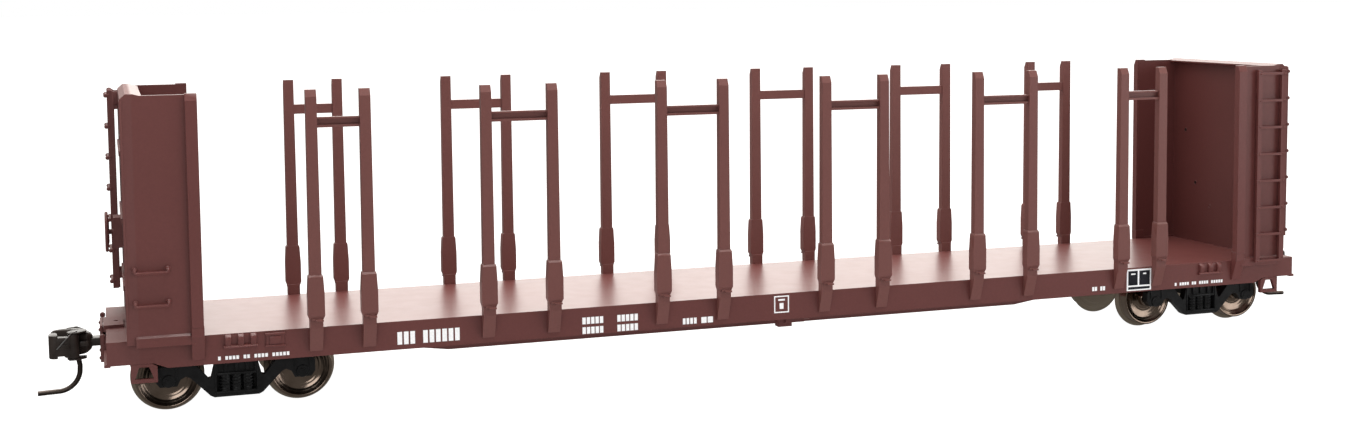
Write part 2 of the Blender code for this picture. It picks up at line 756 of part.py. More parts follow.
def truck(end, turn, frame_mesh, screw_mesh, wheel_mesh, axle_mesh):
    """One truck: its frame swivels about the screw, and its two wheelsets turn in the frame."""
    swivel = pivot(f"truck_{end}_swivel", (TRUCK_CENTRE, 0, 0), turn)
    middle = (TRUCK_CENTRE, 0, 0)
    place(f"truck_frame_{end}", frame_mesh, TRUCK_PLASTIC, middle, turn, swivel)
    place(f"truck_screw_{end}", screw_mesh, SCREW_METAL, middle, turn)
    for set_name, offset in (("outer", HALF_WHEELBASE), ("inner", -HALF_WHEELBASE)):
        centre = (TRUCK_CENTRE + offset, 0, AXLE_HEIGHT)
        spin = pivot(f"wheelset_{end}_{set_name}_spin", centre, turn, swivel)
        place(f"axle_{end}_{set_name}", axle_mesh, WHEEL_METAL, centre, turn, spin)
        name = f"wheel_{end}_{set_name}"
        place(f"{name}_1", wheel_mesh, WHEEL_METAL, centre, turn, spin)
        opposite = Matrix.Translation(Vector(centre) * MM) @ HALF_TURN
        opposite = turn @ opposite @ Matrix.Translation(-Vector(centre) * MM)
        place(f"{name}_2", wheel_mesh, WHEEL_METAL, centre, opposite, spin)


def trucks():
    frame_mesh = truck_frame()
    head = rod(1.9, (0, 0, BOLSTER_BOTTOM - 0.95), (0, 0, BOLSTER_BOTTOM - 0.05), 12)
    shank = rod(TRUCK_SCREW_RADIUS, (0, 0, BOLSTER_BOTTOM - 0.5), (0, 0, 10.9), 12)
    screw_mesh = frozen(join(head, shank))
    wheel_mesh = frozen(turned(wheel_profile(), "Y", 24, True))
    half_axle = [(AXLE_TIP_RADIUS, AXLE_TIP), (AXLE_RADIUS, AXLE_SHOULDER)]
    profile = [(0.0, AXLE_TIP), *half_axle]
    profile += [(radius, -height) for radius, height in reversed(profile)]
    axle_mesh = frozen(turned(profile, "Y", 10, False))
    for end, turn in (("a", Matrix.Identity(4)), ("b", HALF_TURN)):
        truck(end, turn, frame_mesh, screw_mesh, wheel_mesh, axle_mesh)


# Couplers ----------------------------------------------------------------------------------


def draft_box():
    """The coupler's pocket with its striker plate, and the post that the coupler swings on."""
    pocket = box(
        (DRAFT_BOX_BACK, -STRIKER_HALF_WIDTH, DRAFT_BOX_BOTTOM),
        (DRAFT_BOX_FRONT + 0.2, STRIKER_HALF_WIDTH, DRAFT_BOX_TOP),
    )
    plate = box(
        (DRAFT_BOX_FRONT, -STRIKER_HALF_WIDTH, 7.3), (DRAFT_BOX_FRONT + 0.45, STRIKER_HALF_WIDTH, 13.0)
    )
    hollow = box(
        (DRAFT_BOX_BACK + 1.0, -3.0, 9.2), (DRAFT_BOX_FRONT + 2, 3.0, DRAFT_BOX_TOP - 0.4)
    )
    case = cut(join(pocket, plate), hollow)
    post_x = COUPLER_PIVOT
    post = rod(0.95, (post_x, 0, DRAFT_BOX_BOTTOM + 0.1), (post_x, 0, DRAFT_BOX_TOP - 0.1), 12)
    hole = rod(0.6, (post_x, 0, 7.0), (post_x, 0, 12.5), 8)
    return frozen(cut(join(case, post), hole))


def coupler():
    """Shank with its pivot eye, and the head with its guard arm; the pivot is at X = 101."""
    head_outline = [
        (HEAD_BACK, -1.5),
        (109.2, -2.3),
        (111.4, -2.9),
        (113.9, -3.3),
        (114.3, -2.7),
        (112.2, -1.3),
        (111.3, -0.4),
        (111.2, 0.9),
        (110.3, 1.1),
        (109.4, 1.6),
        (109.3, 2.2),
        (HEAD_BACK, 1.6),
    ]
    head = prism(head_outline, "Z", HEAD_BOTTOM, HEAD_TOP)
    shank = box(
        (COUPLER_PIVOT, -SHANK_HALF_WIDTH, SHANK_BOTTOM), (HEAD_BACK + 0.3, SHANK_HALF_WIDTH, SHANK_TOP)
    )
    eye_rise = 0.08
    eye = rod(
        1.9,
        (COUPLER_PIVOT, 0, SHANK_BOTTOM - eye_rise),
        (COUPLER_PIVOT, 0, SHANK_TOP + eye_rise),
        16,
    )
    pin_x, pin_y = KNUCKLE_PIN
    lug_outline = [
        (109.0, 0.5),
        (110.9, 0.5),
        (pin_x + 0.95, pin_y - 0.3),
        (pin_x + 0.6, pin_y + 0.85),
        (pin_x - 0.6, pin_y + 0.85),
        (109.0, 2.0),
    ]
    lug_inset = 0.04
    lower_lug = prism(lug_outline, "Z", HEAD_BOTTOM + lug_inset, KNUCKLE_BOTTOM - 0.06)
    upper_lug = prism(lug_outline, "Z", KNUCKLE_TOP + 0.06, HEAD_TOP - lug_inset)
    pieces = [shank, eye, lower_lug, upper_lug]
    body = join(head, *pieces)
    hole = rod(1.0, (COUPLER_PIVOT, 0, 9.0), (COUPLER_PIVOT, 0, 11.2), 12)
    return frozen(cut(body, hole), (COUPLER_PIVOT, 0, 0))


def knuckle():
    """The hook that closes the head's jaw; it swings on a pin between the head's two lugs."""
    pin_x, pin_y = KNUCKLE_PIN
    hub = rod(0.85, (pin_x, pin_y, KNUCKLE_BOTTOM), (pin_x, pin_y, KNUCKLE_TOP), 12)
    hook_outline = [
        (pin_x, pin_y + 0.65),
        (113.2, 3.1),
        (114.4, 2.5),
        (114.5, 0.6),
        (114.0, -0.1),
        (113.3, 0.1),
        (113.2, 1.3),
        (112.3, 1.7),
        (pin_x, pin_y - 0.65),
    ]
    hook = prism(hook_outline, "Z", KNUCKLE_BOTTOM + 0.05, KNUCKLE_TOP - 0.05)
    return frozen(join(hub, hook), (pin_x, pin_y, 0))


def trip_pin():
    """The curved steel wire below the coupler head that a magnet pulls to open the knuckle."""
    points = [(110.3, 0, HEAD_BOTTOM - FIT_GAP), (110.1, 0, 6.2)]
    centre_x, centre_z, radius = 113.4, 5.8, 3.3
    for step in range(7):
        angle = math.radians(188 + step * 13)
        along = centre_x + radius * math.cos(angle)
        points.append((along, 0, centre_z + radius * math.sin(angle)))
    points.append((116.4, 0, 2.4))
    return frozen(wire(points, TRIP_PIN_RADIUS), (COUPLER_PIVOT, 0, 0))


def couplers():
    head = rod(1.2, (0, 0, DRAFT_BOX_BOTTOM - 0.6), (0, 0, DRAFT_BOX_BOTTOM - FIT_GAP), 12)
    shank = rod(0.55, (0, 0, DRAFT_BOX_BOTTOM - 0.3), (0, 0, 12.0), 8)
    screw_mesh = frozen(join(head, shank))
    box_mesh, coupler_mesh = draft_box(), coupler()
    knuckle_mesh, pin_mesh = knuckle(), trip_pin()
    for end, turn in (("a", Matrix.Identity(4)), ("b", HALF_TURN)):
        place(f"draft_box_{end}", box_mesh, BODY_PAINT, turn=turn)
        centre = (COUPLER_PIVOT, 0, 0)
        place(f"coupler_screw_{end}", screw_mesh, SCREW_METAL, centre, turn)
        swing = pivot(f"coupler_{end}_swing", centre, turn)
        place(f"coupler_{end}", coupler_mesh, COUPLER_PLASTIC, centre, turn, swing)
        place(f"trip_pin_{end}", pin_mesh, COUPLER_PLASTIC, centre, turn, swing)
        hinge = pivot(f"knuckle_{end}_hinge", (*KNUCKLE_PIN, 0), turn, swing)
        place(f"knuckle_{end}", knuckle_mesh, COUPLER_PLASTIC, (*KNUCKLE_PIN, 0), turn, hinge)


# Brakes ------------------------------------------------------------------------------------


def hand_brake():
    """The hand brake on the outside of end wall B: gear housing, and the wheel on its short shaft."""
    across, up = BRAKE_WHEEL_CENTRE
    housing = box(
        (-BRAKE_HOUSING_OUTSIDE, across - 1.9, up - 2.4),
        (-WALL_OUTER - FIT_GAP, across + 1.9, up + 2.4),
    )
    socket = rod(0.5, (-BRAKE_HOUSING_OUTSIDE - 1, across, up), (-BRAKE_HOUSING_OUTSIDE + 0.7, across, up), 10)
    place("brake_housing", frozen(cut(housing, socket)), BODY_PAINT)

    plane = -BRAKE_WHEEL_OUTSIDE + BRAKE_WIRE_RADIUS
    rim_profile = []
    for corner in range(6):
        angle = math.radians(90 - corner * 60)
        rim_profile.append(
            (
                BRAKE_RIM_RADIUS + BRAKE_WIRE_RADIUS * math.cos(angle),
                BRAKE_WIRE_RADIUS * math.sin(angle),
            )
        )
    rim = turned(rim_profile, "X", 20, True)
    rim = moved(rim, (plane, across, up))
    hub_end = -BRAKE_HOUSING_OUTSIDE + 0.5
    pieces = [
        rod(0.42, (plane - 0.1, across, up), (hub_end, across, up), 10),
        rod(0.75, (plane - 0.24, across, up), (plane + 0.3, across, up), 10),
    ]
    for number in range(6):
        angle = math.radians(90 + number * 60)
        tip = (
            plane,
            across + BRAKE_RIM_RADIUS * math.cos(angle),
            up + BRAKE_RIM_RADIUS * math.sin(angle),
        )
        pieces.append(rod(0.2, (plane, across, up), tip, 6))
    wheel = join(rim, *pieces)
    centre = (-BRAKE_WHEEL_OUTSIDE, across, up)
    spin = pivot("brake_wheel_spin", centre)
    place("brake_wheel", frozen(wheel, centre), BODY_PAINT, centre, parent=spin)


def air_brake():
    """Air reservoir, brake cylinder and control valve, hung under the floor plate."""
    floor = FLOOR_PLATE_TOP - FLOOR_PLATE_THICKNESS - FIT_GAP
    tank = [(0.0, 7.0), (1.1, 6.8), (1.55, 6.2), (1.55, -6.2), (1.1, -6.8), (0.0, -7.0)]
    reservoir = moved(turned(tank, "X", 12, False), (-17, -8, floor - 1.56))
    place("air_reservoir", frozen(reservoir), BODY_PAINT)
    barrel = rod(1.8, (13.5, 8, floor - 1.82), (20.5, 8, floor - 1.82), 14)
    nose = rod(1.1, (12.0, 8, floor - 1.82), (13.6, 8, floor - 1.82), 10, 1.7)
    push_rod = rod(0.35, (20.4, 8, floor - 1.82), (26.0, 8, floor - 1.82), 8)
    place("brake_cylinder", frozen(join(barrel, nose, push_rod)), BODY_PAINT)
    block = box((4.6, -9.4, 6.2), (8.2, -7.0, floor))
    foot = box((3.4, -9.0, 5.5), (6.0, -7.4, 7.0))
    knob = rod(0.8, (8.0, -8.2, 7.2), (9.6, -8.2, 7.2), 10)
    place("control_valve", frozen(join(block, foot, knob)), BODY_PAINT)


car_body()
underframe()
steel_weight()
stake_frames()
bulkheads()
side_ladders()
end_ladders()
grab_irons()
stirrup_steps()
trucks()
couplers()
hand_brake()
air_brake()
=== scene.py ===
"""Looks of the HO scale bulkhead log flat car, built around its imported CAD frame.

Everything is in metres in the CAD frame: +X towards the A end, the hand brake end (B) at -X,
+Y to the far side, Z = 0 under the wheel flanges. Sizes below are written in millimetres and
turned to metres by the helpers. Pieces that repeat at both ends are made for the A end and
turned half a circle about Z for the B end.
"""

import json
import math

import bmesh
import bpy
from mathutils import Matrix, Vector


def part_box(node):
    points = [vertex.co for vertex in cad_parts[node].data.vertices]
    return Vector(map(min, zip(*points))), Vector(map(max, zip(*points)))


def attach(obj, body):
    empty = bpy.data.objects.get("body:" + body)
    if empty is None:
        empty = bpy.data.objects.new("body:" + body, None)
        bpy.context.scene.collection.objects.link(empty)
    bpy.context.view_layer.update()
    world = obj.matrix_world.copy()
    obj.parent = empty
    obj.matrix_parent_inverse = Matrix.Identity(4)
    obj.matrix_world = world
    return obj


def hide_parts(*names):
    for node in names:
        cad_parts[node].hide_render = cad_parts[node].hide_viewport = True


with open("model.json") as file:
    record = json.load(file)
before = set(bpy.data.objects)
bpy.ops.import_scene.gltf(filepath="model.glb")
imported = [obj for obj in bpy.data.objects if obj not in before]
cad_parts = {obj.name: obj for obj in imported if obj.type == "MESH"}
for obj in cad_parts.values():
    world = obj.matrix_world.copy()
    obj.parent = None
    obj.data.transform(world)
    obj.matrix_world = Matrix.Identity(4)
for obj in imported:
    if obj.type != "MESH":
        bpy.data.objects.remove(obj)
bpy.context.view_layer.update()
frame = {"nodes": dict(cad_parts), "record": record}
NODES = frame["nodes"]

MM = 0.001
HALF_TURN = Matrix.Rotation(math.pi, 4, "Z")
ENDS = (("a", Matrix.Identity(4)), ("b", HALF_TURN))

# Places read from the CAD nodes, in millimetres
SILL_FACE = (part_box("car_body")[1] / MM).y
TRUCK_CENTRE = sum(corner.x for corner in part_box("truck_frame_a")) / 2 / MM
AXLE_Z = sum(corner.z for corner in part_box("wheel_a_outer_1")) / 2 / MM
HALF_WHEELBASE = sum(corner.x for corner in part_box("wheel_a_outer_1")) / 2 / MM - TRUCK_CENTRE

# Places shared by several pieces, in millimetres
END_WALL_INNER = 101.1
KNUCKLE_PIN_X, KNUCKLE_PIN_Y = 110.9, 2.35
LADDER_RUNG_RISE = 5.0
SLEEVE_HALF_WIDTH = 1.27
SOFT_EDGE, SOFT_EDGE_ANGLE, WELD_REACH = 0.09, 32, 0.001
FRAMES_PER_SIDE, SIDE_LADDER_RUNGS, END_LADDER_RUNGS = 6, 8, 7


# Camera, light and floor -------------------------------------------------------------------

EYE = (-104.86, -274.29, 63.09)
HEADING, TILT, ROLL = 0.3411, -0.078, -0.00836
FOCAL_IN_WIDTHS = 1.24028
SENSOR_WIDTH = 36.0
SHIFT_X, SHIFT_Y = -0.0184, -0.07

SWEEP_DIRECTION = (0.30, 0.50, 0.81)
SWEEP_START, SWEEP_END = 0.38, 0.70
SWEEP_TINT = (1.0, 0.975, 0.925, 1.0)
WHITE = (1.0, 1.0, 1.0, 1.0)
FRONT_LEVEL, BACK_LEVEL = 0.17, 3.1
OVERHEAD_WATTS, LEFT_WATTS, RIGHT_WATTS, FILL_WATTS = 1.4, 0.55, 0.35, 0.65
FLOOR_GLOW = 1.0
FLOOR_GREY = (0.2, 0.2, 0.2, 1.0)
FLOOR_HALF_SIZE, FLOOR_DROP = 6.0, 0.00003


def camera():
    """The view from the left front, a little above the stakes' middle."""
    data = bpy.data.cameras.new("camera")
    data.sensor_width = SENSOR_WIDTH
    data.lens = SENSOR_WIDTH * FOCAL_IN_WIDTHS
    data.shift_x, data.shift_y = SHIFT_X, SHIFT_Y
    data.clip_start = 0.001
    data.clip_end = 20.0
    eye = bpy.data.objects.new("camera", data)
    bpy.context.scene.collection.objects.link(eye)
    turn = Matrix.Rotation(-HEADING, 4, "Z") @ Matrix.Rotation(math.pi / 2 + TILT, 4, "X")
    turn = turn @ Matrix.Rotation(ROLL, 4, "Z")
    eye.matrix_world = Matrix.Translation(Vector(EYE) * MM) @ turn
    bpy.context.scene.camera = eye


def area_light(name, place, target, size, watts, glossy=True):
    """A soft lamp aimed at a target, in millimetres. Not glossy means no highlights from it."""
    data = bpy.data.lights.new(name, "AREA")
    data.shape = "RECTANGLE"
    data.size, data.size_y = size[0] * MM, size[1] * MM
    data.energy = watts
    lamp = bpy.data.objects.new(name, data)
    bpy.context.scene.collection.objects.link(lamp)
    spot = Vector(place) * MM
    aim = (Vector(target) * MM - spot).to_track_quat("-Z", "Y").to_matrix().to_4x4()
    lamp.matrix_world = Matrix.Translation(spot) @ aim
    lamp.visible_camera = False
    lamp.visible_glossy = glossy


def studio():
    """A white sweep, bright overhead and behind, dim in front, and four soft lamps."""
    world = bpy.data.worlds.new("studio")
    world.use_nodes = True
    tree = world.node_tree
    background = tree.nodes["Background"]
    direction = tree.nodes.new("ShaderNodeTexCoord")
    slope = tree.nodes.new("ShaderNodeVectorMath")
    slope.operation = "DOT_PRODUCT"
    slope.inputs[1].default_value = SWEEP_DIRECTION
    tree.links.new(direction.outputs["Generated"], slope.inputs[0])
    level = tree.nodes.new("ShaderNodeMapRange")
    level.interpolation_type = "SMOOTHSTEP"
    level.inputs["From Min"].default_value = SWEEP_START
    level.inputs["From Max"].default_value = SWEEP_END
    level.inputs["To Min"].default_value = FRONT_LEVEL
    level.inputs["To Max"].default_value = BACK_LEVEL
    tree.links.new(slope.outputs["Value"], level.inputs["Value"])
    seen = tree.nodes.new("ShaderNodeLightPath")
    strength = tree.nodes.new("ShaderNodeMix")
    tree.links.new(seen.outputs["Is Camera Ray"], strength.inputs["Factor"])
    tree.links.new(level.outputs["Result"], strength.inputs["A"])
    strength.inputs["B"].default_value = 1.0
    tree.links.new(strength.outputs["Result"], background.inputs["Strength"])
    colour = tree.nodes.new("ShaderNodeMix")
    colour.data_type = "RGBA"
    tree.links.new(seen.outputs["Is Camera Ray"], colour.inputs[0])
    colour.inputs[6].default_value = SWEEP_TINT
    colour.inputs[7].default_value = WHITE
    tree.links.new(colour.outputs[2], background.inputs["Color"])
    scene = bpy.context.scene
    scene.world = world
    scene.view_settings.view_transform = "Standard"
    area_light("overhead", (-40, -60, 480), (0, 0, 10), (420, 260), OVERHEAD_WATTS)
    area_light("front_left", (-260, -500, 250), (0, 0, 24), (300, 300), LEFT_WATTS)
    place, target, size = (400, -340, 90), (40, 0, 20), (300, 220)
    area_light("front_right", place, target, size, RIGHT_WATTS)
    area_light("right_fill", place, target, size, FILL_WATTS, glossy=False)


def floor():
    """A plain white floor, just under the wheels, that glows and isn't mirrored in the car."""
    shape = bmesh.new()
    bmesh.ops.create_grid(shape, x_segments=1, y_segments=1, size=FLOOR_HALF_SIZE)
    bmesh.ops.translate(shape, vec=(0, 0, -FLOOR_DROP), verts=shape.verts)
    mesh = bpy.data.meshes.new("floor")
    shape.to_mesh(mesh)
    shape.free()
    ground = bpy.data.objects.new("floor", mesh)
    bpy.context.scene.collection.objects.link(ground)
    paint = bpy.data.materials.new("floor_white")
    paint.use_nodes = True
    shader = paint.node_tree.nodes["Principled BSDF"]
    shader.inputs["Base Color"].default_value = FLOOR_GREY
    shader.inputs["Roughness"].default_value = 1.0
    shader.inputs["Specular IOR Level"].default_value = 0.0
    shader.inputs["Emission Color"].default_value = WHITE
    shader.inputs["Emission Strength"].default_value = FLOOR_GLOW
    mesh.materials.append(paint)
    ground.visible_glossy = False


# Materials ---------------------------------------------------------------------------------

FINE_RINGS, COARSE_RINGS = 15000.0, 6800.0  # turning marks, in radians per metre of radius
BACK_ENDS, FACE_STARTS = 8.2, 8.8  # where a wheel's dull back turns to polished face, from Y = 0


class Nodes:
    """A small writer of shader node trees."""

    def __init__(self, name):
        self.material = bpy.data.materials.new(name)
        self.material.use_nodes = True
        self.tree = self.material.node_tree
        self.shader = self.tree.nodes["Principled BSDF"]

    def add(self, kind, **values):
        """Adds a node and sets its properties."""
        node = self.tree.nodes.new(kind)
        for name, value in values.items():
            setattr(node, name, value)
        return node

    def link(self, source, target):
        """Joins an output to an input."""
        self.tree.links.new(source, target)

    def coordinates(self):
        """The object's own coordinates as one vector, in metres."""
        return self.add("ShaderNodeTexCoord").outputs["Object"]

    def axes(self):
        """The object's own X, Y and Z apart, in metres."""
        split = self.add("ShaderNodeSeparateXYZ")
        self.link(self.coordinates(), split.inputs["Vector"])
        return split.outputs

    def noise(self, size_mm, detail=3.0, roughness=0.55, stretch=None):
        """Noise whose features are about size_mm across, stretched along an axis on request."""
        node = self.add("ShaderNodeTexNoise")
        node.inputs["Scale"].default_value = 1.0 / (size_mm * MM)
        node.inputs["Detail"].default_value = detail
        node.inputs["Roughness"].default_value = roughness
        vector = self.coordinates()
        if stretch:
            mapping = self.add("ShaderNodeMapping")
            mapping.inputs["Scale"].default_value = stretch
            self.link(vector, mapping.inputs["Vector"])
            vector = mapping.outputs["Vector"]
        self.link(vector, node.inputs["Vector"])
        return node.outputs["Fac"]

    def ramp(self, source, stops):
        """Colours by value; each stop is (place, colour)."""
        node = self.add("ShaderNodeValToRGB")
        elements = node.color_ramp.elements
        while len(elements) < len(stops):
            elements.new(0.5)
        for element, (place, colour) in zip(elements, stops):
            element.position = place
            element.color = (*colour, 1.0)
        self.link(source, node.inputs["Fac"])
        return node.outputs["Color"]

    def mix(self, factor, first, second, blend="MIX"):
        """Two colours blended by a factor, each of them a link or plain."""
        node = self.add("ShaderNodeMix", data_type="RGBA", blend_type=blend)
        for value, socket in ((factor, 0), (first, 6), (second, 7)):
            if isinstance(value, bpy.types.NodeSocket):
                self.link(value, node.inputs[socket])
            elif isinstance(value, (int, float)):
                node.inputs[socket].default_value = value
            else:
                node.inputs[socket].default_value = (*value, 1.0)
        return node.outputs[2]

    def to_range(self, source, low, high, from_low=0.0, from_high=1.0):
        """A value between from_low and from_high spread between low and high."""
        node = self.add("ShaderNodeMapRange")
        node.inputs["From Min"].default_value = from_low
        node.inputs["From Max"].default_value = from_high
        node.inputs["To Min"].default_value = low
        node.inputs["To Max"].default_value = high
        self.link(source, node.inputs["Value"])
        return node.outputs["Result"]

    def math(self, operation, first, second=0.0):
        """A sum on two values, each of them a link or plain."""
        node = self.add("ShaderNodeMath", operation=operation)
        for index, value in enumerate((first, second)):
            if isinstance(value, bpy.types.NodeSocket):
                self.link(value, node.inputs[index])
            else:
                node.inputs[index].default_value = value
        return node.outputs[0]

    def bump(self, height, depth_mm, strength=1.0):
        """A normal that follows a height, depth_mm deep."""
        node = self.add("ShaderNodeBump")
        node.inputs["Strength"].default_value = strength
        node.inputs["Distance"].default_value = depth_mm * MM
        self.link(height, node.inputs["Height"])
        return node.outputs["Normal"]

    def set(self, **values):
        """Gives the shader's sockets a link or a plain number."""
        for name, value in values.items():
            socket = self.shader.inputs[name.replace("_", " ")]
            if isinstance(value, bpy.types.NodeSocket):
                self.link(value, socket)
            else:
                socket.default_value = value


def paint(name, colour, rough=0.34, far_painted_light=1.0, dull_ends=False):
    """Satin spray paint: faint mottling, fine orange peel and slightly dustier patches.

    The far side factor is painted light: it lightens or darkens the far side (+Y), standing in
    for how light falls there. dull_ends makes the paint beyond the end walls' inner faces rougher.
    """
    made = Nodes(name)
    broad = made.noise(14.0, 3.0)
    fine = made.noise(0.35, 2.0)
    dark = tuple(0.97 * part for part in colour)
    light = tuple(1.03 * part + 0.0003 for part in colour)
    mottled = made.ramp(broad, [(0.3, dark), (0.7, light)])
    grain = made.ramp(fine, [(0.25, (0.93, 0.93, 0.93)), (0.75, (1.05, 1.05, 1.05))])
    mottled = made.mix(1.0, mottled, grain, "MULTIPLY")
    # Painted light: the far side (+Y) is made lighter, standing in for the brighter light on the
    # far stakes.
    if far_painted_light != 1.0:
        far = made.to_range(made.axes()["Y"], 0.0, 1.0, -0.001, 0.001)
        mottled = made.mix(far, mottled, (far_painted_light, far_painted_light, far_painted_light), "MULTIPLY")
    roughness = made.to_range(made.noise(3.0, 4.0), rough - 0.01, rough + 0.02, 0.3, 0.7)
    peel = made.bump(made.noise(0.45, 2.0), 0.012, 0.35)
    if dull_ends:
        reach = made.math("ABSOLUTE", made.axes()["X"])
        start = (END_WALL_INNER + 0.3) * MM
        dulling = made.to_range(reach, 0.0, 0.3, start, start + 0.4 * MM)
        roughness = made.math("ADD", roughness, dulling)
    made.set(Base_Color=mottled, Roughness=roughness, Normal=peel)
    made.shader.inputs["Specular IOR Level"].default_value = 0.42
    return made.material


def plastic(name, colour, rough):
    """Dark engineering plastic with a faint moulded texture."""
    made = Nodes(name)
    cloud = made.noise(1.6, 4.0)
    dark = tuple(0.75 * part for part in colour)
    light = tuple(1.35 * part + 0.001 for part in colour)
    tone = made.ramp(cloud, [(0.3, dark), (0.7, light)])
    roughness = made.to_range(made.noise(0.8, 3.0), rough - 0.07, rough + 0.08, 0.3, 0.7)
    grain = made.bump(made.noise(0.22, 2.0), 0.01, 0.5)
    made.set(Base_Color=tone, Roughness=roughness, Normal=grain)
    made.shader.inputs["Specular IOR Level"].default_value = 0.3
    return made.material


def turned_metal(name, dark, light, dull, rough):
    """Turned and darkened metal: rings about the local Y axis, polished faces and dull backs."""
    made = Nodes(name)
    axes = made.axes()
    across, up = axes["X"], axes["Z"]
    squares = (made.math("MULTIPLY", across, across), made.math("MULTIPLY", up, up))
    radius = made.math("SQRT", made.math("ADD", *squares))
    wobble = made.math("MULTIPLY", made.noise(2.0, 2.0), 0.1 * MM)
    wobbly = made.math("ADD", radius, wobble)
    rings = made.math("SINE", made.math("MULTIPLY", wobbly, FINE_RINGS))
    coarse = made.math("SINE", made.math("MULTIPLY", radius, COARSE_RINGS))
    both = made.math("ADD", rings, made.math("MULTIPLY", coarse, 2.2))
    outward = made.math("ABSOLUTE", axes["Y"])
    front = made.to_range(outward, 0.0, 1.0, BACK_ENDS * MM, FACE_STARTS * MM)
    tint = made.ramp(made.noise(3.0, 3.0), [(0.3, dark), (0.7, light)])
    tint = made.mix(front, dull, tint)
    polish = made.to_range(made.noise(0.7, 3.0), rough - 0.02, rough + 0.05, 0.3, 0.7)
    roughness = made.add("ShaderNodeMix", data_type="FLOAT")
    made.link(front, roughness.inputs["Factor"])
    roughness.inputs["A"].default_value = 0.5
    made.link(polish, roughness.inputs["B"])
    made.set(
        Base_Color=tint,
        Metallic=1.0,
        Roughness=roughness.outputs["Result"],
        Normal=made.bump(both, 0.004, 1.0),
    )
    return made.material


def steel(name, colour, rough):
    """Plain drawn steel with fine streaks."""
    made = Nodes(name)
    streaks = made.noise(0.4, 3.0, stretch=(0.15, 1.0, 1.0))
    dark = tuple(0.7 * part for part in colour)
    tone = made.ramp(streaks, [(0.25, dark), (0.75, colour)])
    roughness = made.to_range(streaks, rough - 0.06, rough + 0.1, 0.3, 0.7)
    grain = made.bump(streaks, 0.004, 0.5)
    made.set(Base_Color=tone, Metallic=1.0, Roughness=roughness, Normal=grain)
    return made.material


MINERAL_RED = (0.112, 0.033, 0.030)
STAKE_RED = (0.136, 0.048, 0.042)
DARK_COPPER, LIGHT_COPPER, DULL_TAN = (0.25, 0.185, 0.145), (0.37, 0.285, 0.23), (0.50, 0.42, 0.34)
MATERIALS = {
    "body_paint": paint("mineral_red_paint", MINERAL_RED, dull_ends=True),
    # The far row of stakes is painted 1.2 times lighter: painted light, not a different paint.
    "stake_paint": paint("stake_red_paint", STAKE_RED, 0.36, far_painted_light=1.2),
    "truck_plastic": plastic("black_truck_plastic", (0.006, 0.006, 0.0065), 0.34),
    "coupler_plastic": plastic("brown_black_plastic", (0.024, 0.017, 0.014), 0.36),
    "trip_pin_steel": steel("browned_steel", (0.10, 0.08, 0.07), 0.38),
    "wheel_metal": turned_metal("turned_wheel_metal", DARK_COPPER, LIGHT_COPPER, DULL_TAN, 0.15),
    "screw_metal": steel("screw_steel", (0.5, 0.5, 0.5), 0.3),
    "weight_steel": steel("weight_steel", (0.25, 0.25, 0.26), 0.5),
}


def mark_paint():
    """Flat white, a little worn."""
    made = Nodes("white_marking_paint")
    tone = made.ramp(made.noise(0.3, 3.0), [(0.3, (0.74, 0.74, 0.75)), (0.7, (0.86, 0.86, 0.87))])
    made.set(Base_Color=tone, Roughness=0.5, Normal=made.bump(made.noise(0.2, 2.0), 0.004, 0.4))
    return made.material


def panel_paint():
    """Flat near-black for the panels inside the white frames."""
    made = Nodes("dark_panel_paint")
    dark, light = (0.006, 0.006, 0.009), (0.016, 0.016, 0.022)
    tone = made.ramp(made.noise(0.5, 3.0), [(0.3, dark), (0.7, light)])
    made.set(Base_Color=tone, Roughness=0.45, Normal=made.bump(made.noise(0.2, 2.0), 0.004, 0.4))
    made.shader.inputs["Specular IOR Level"].default_value = 0.2
    return made.material


# Mesh helpers ------------------------------------------------------------------------------


def vec(*millimetres):
    """A vector in metres from millimetres."""
    return Vector(millimetres) * MM


def circle(radius, steps):
    """Points (across, up) round a circle, starting on the first axis."""
    turns = (math.tau * step / steps for step in range(steps))
    return [(radius * math.cos(angle), radius * math.sin(angle)) for angle in turns]


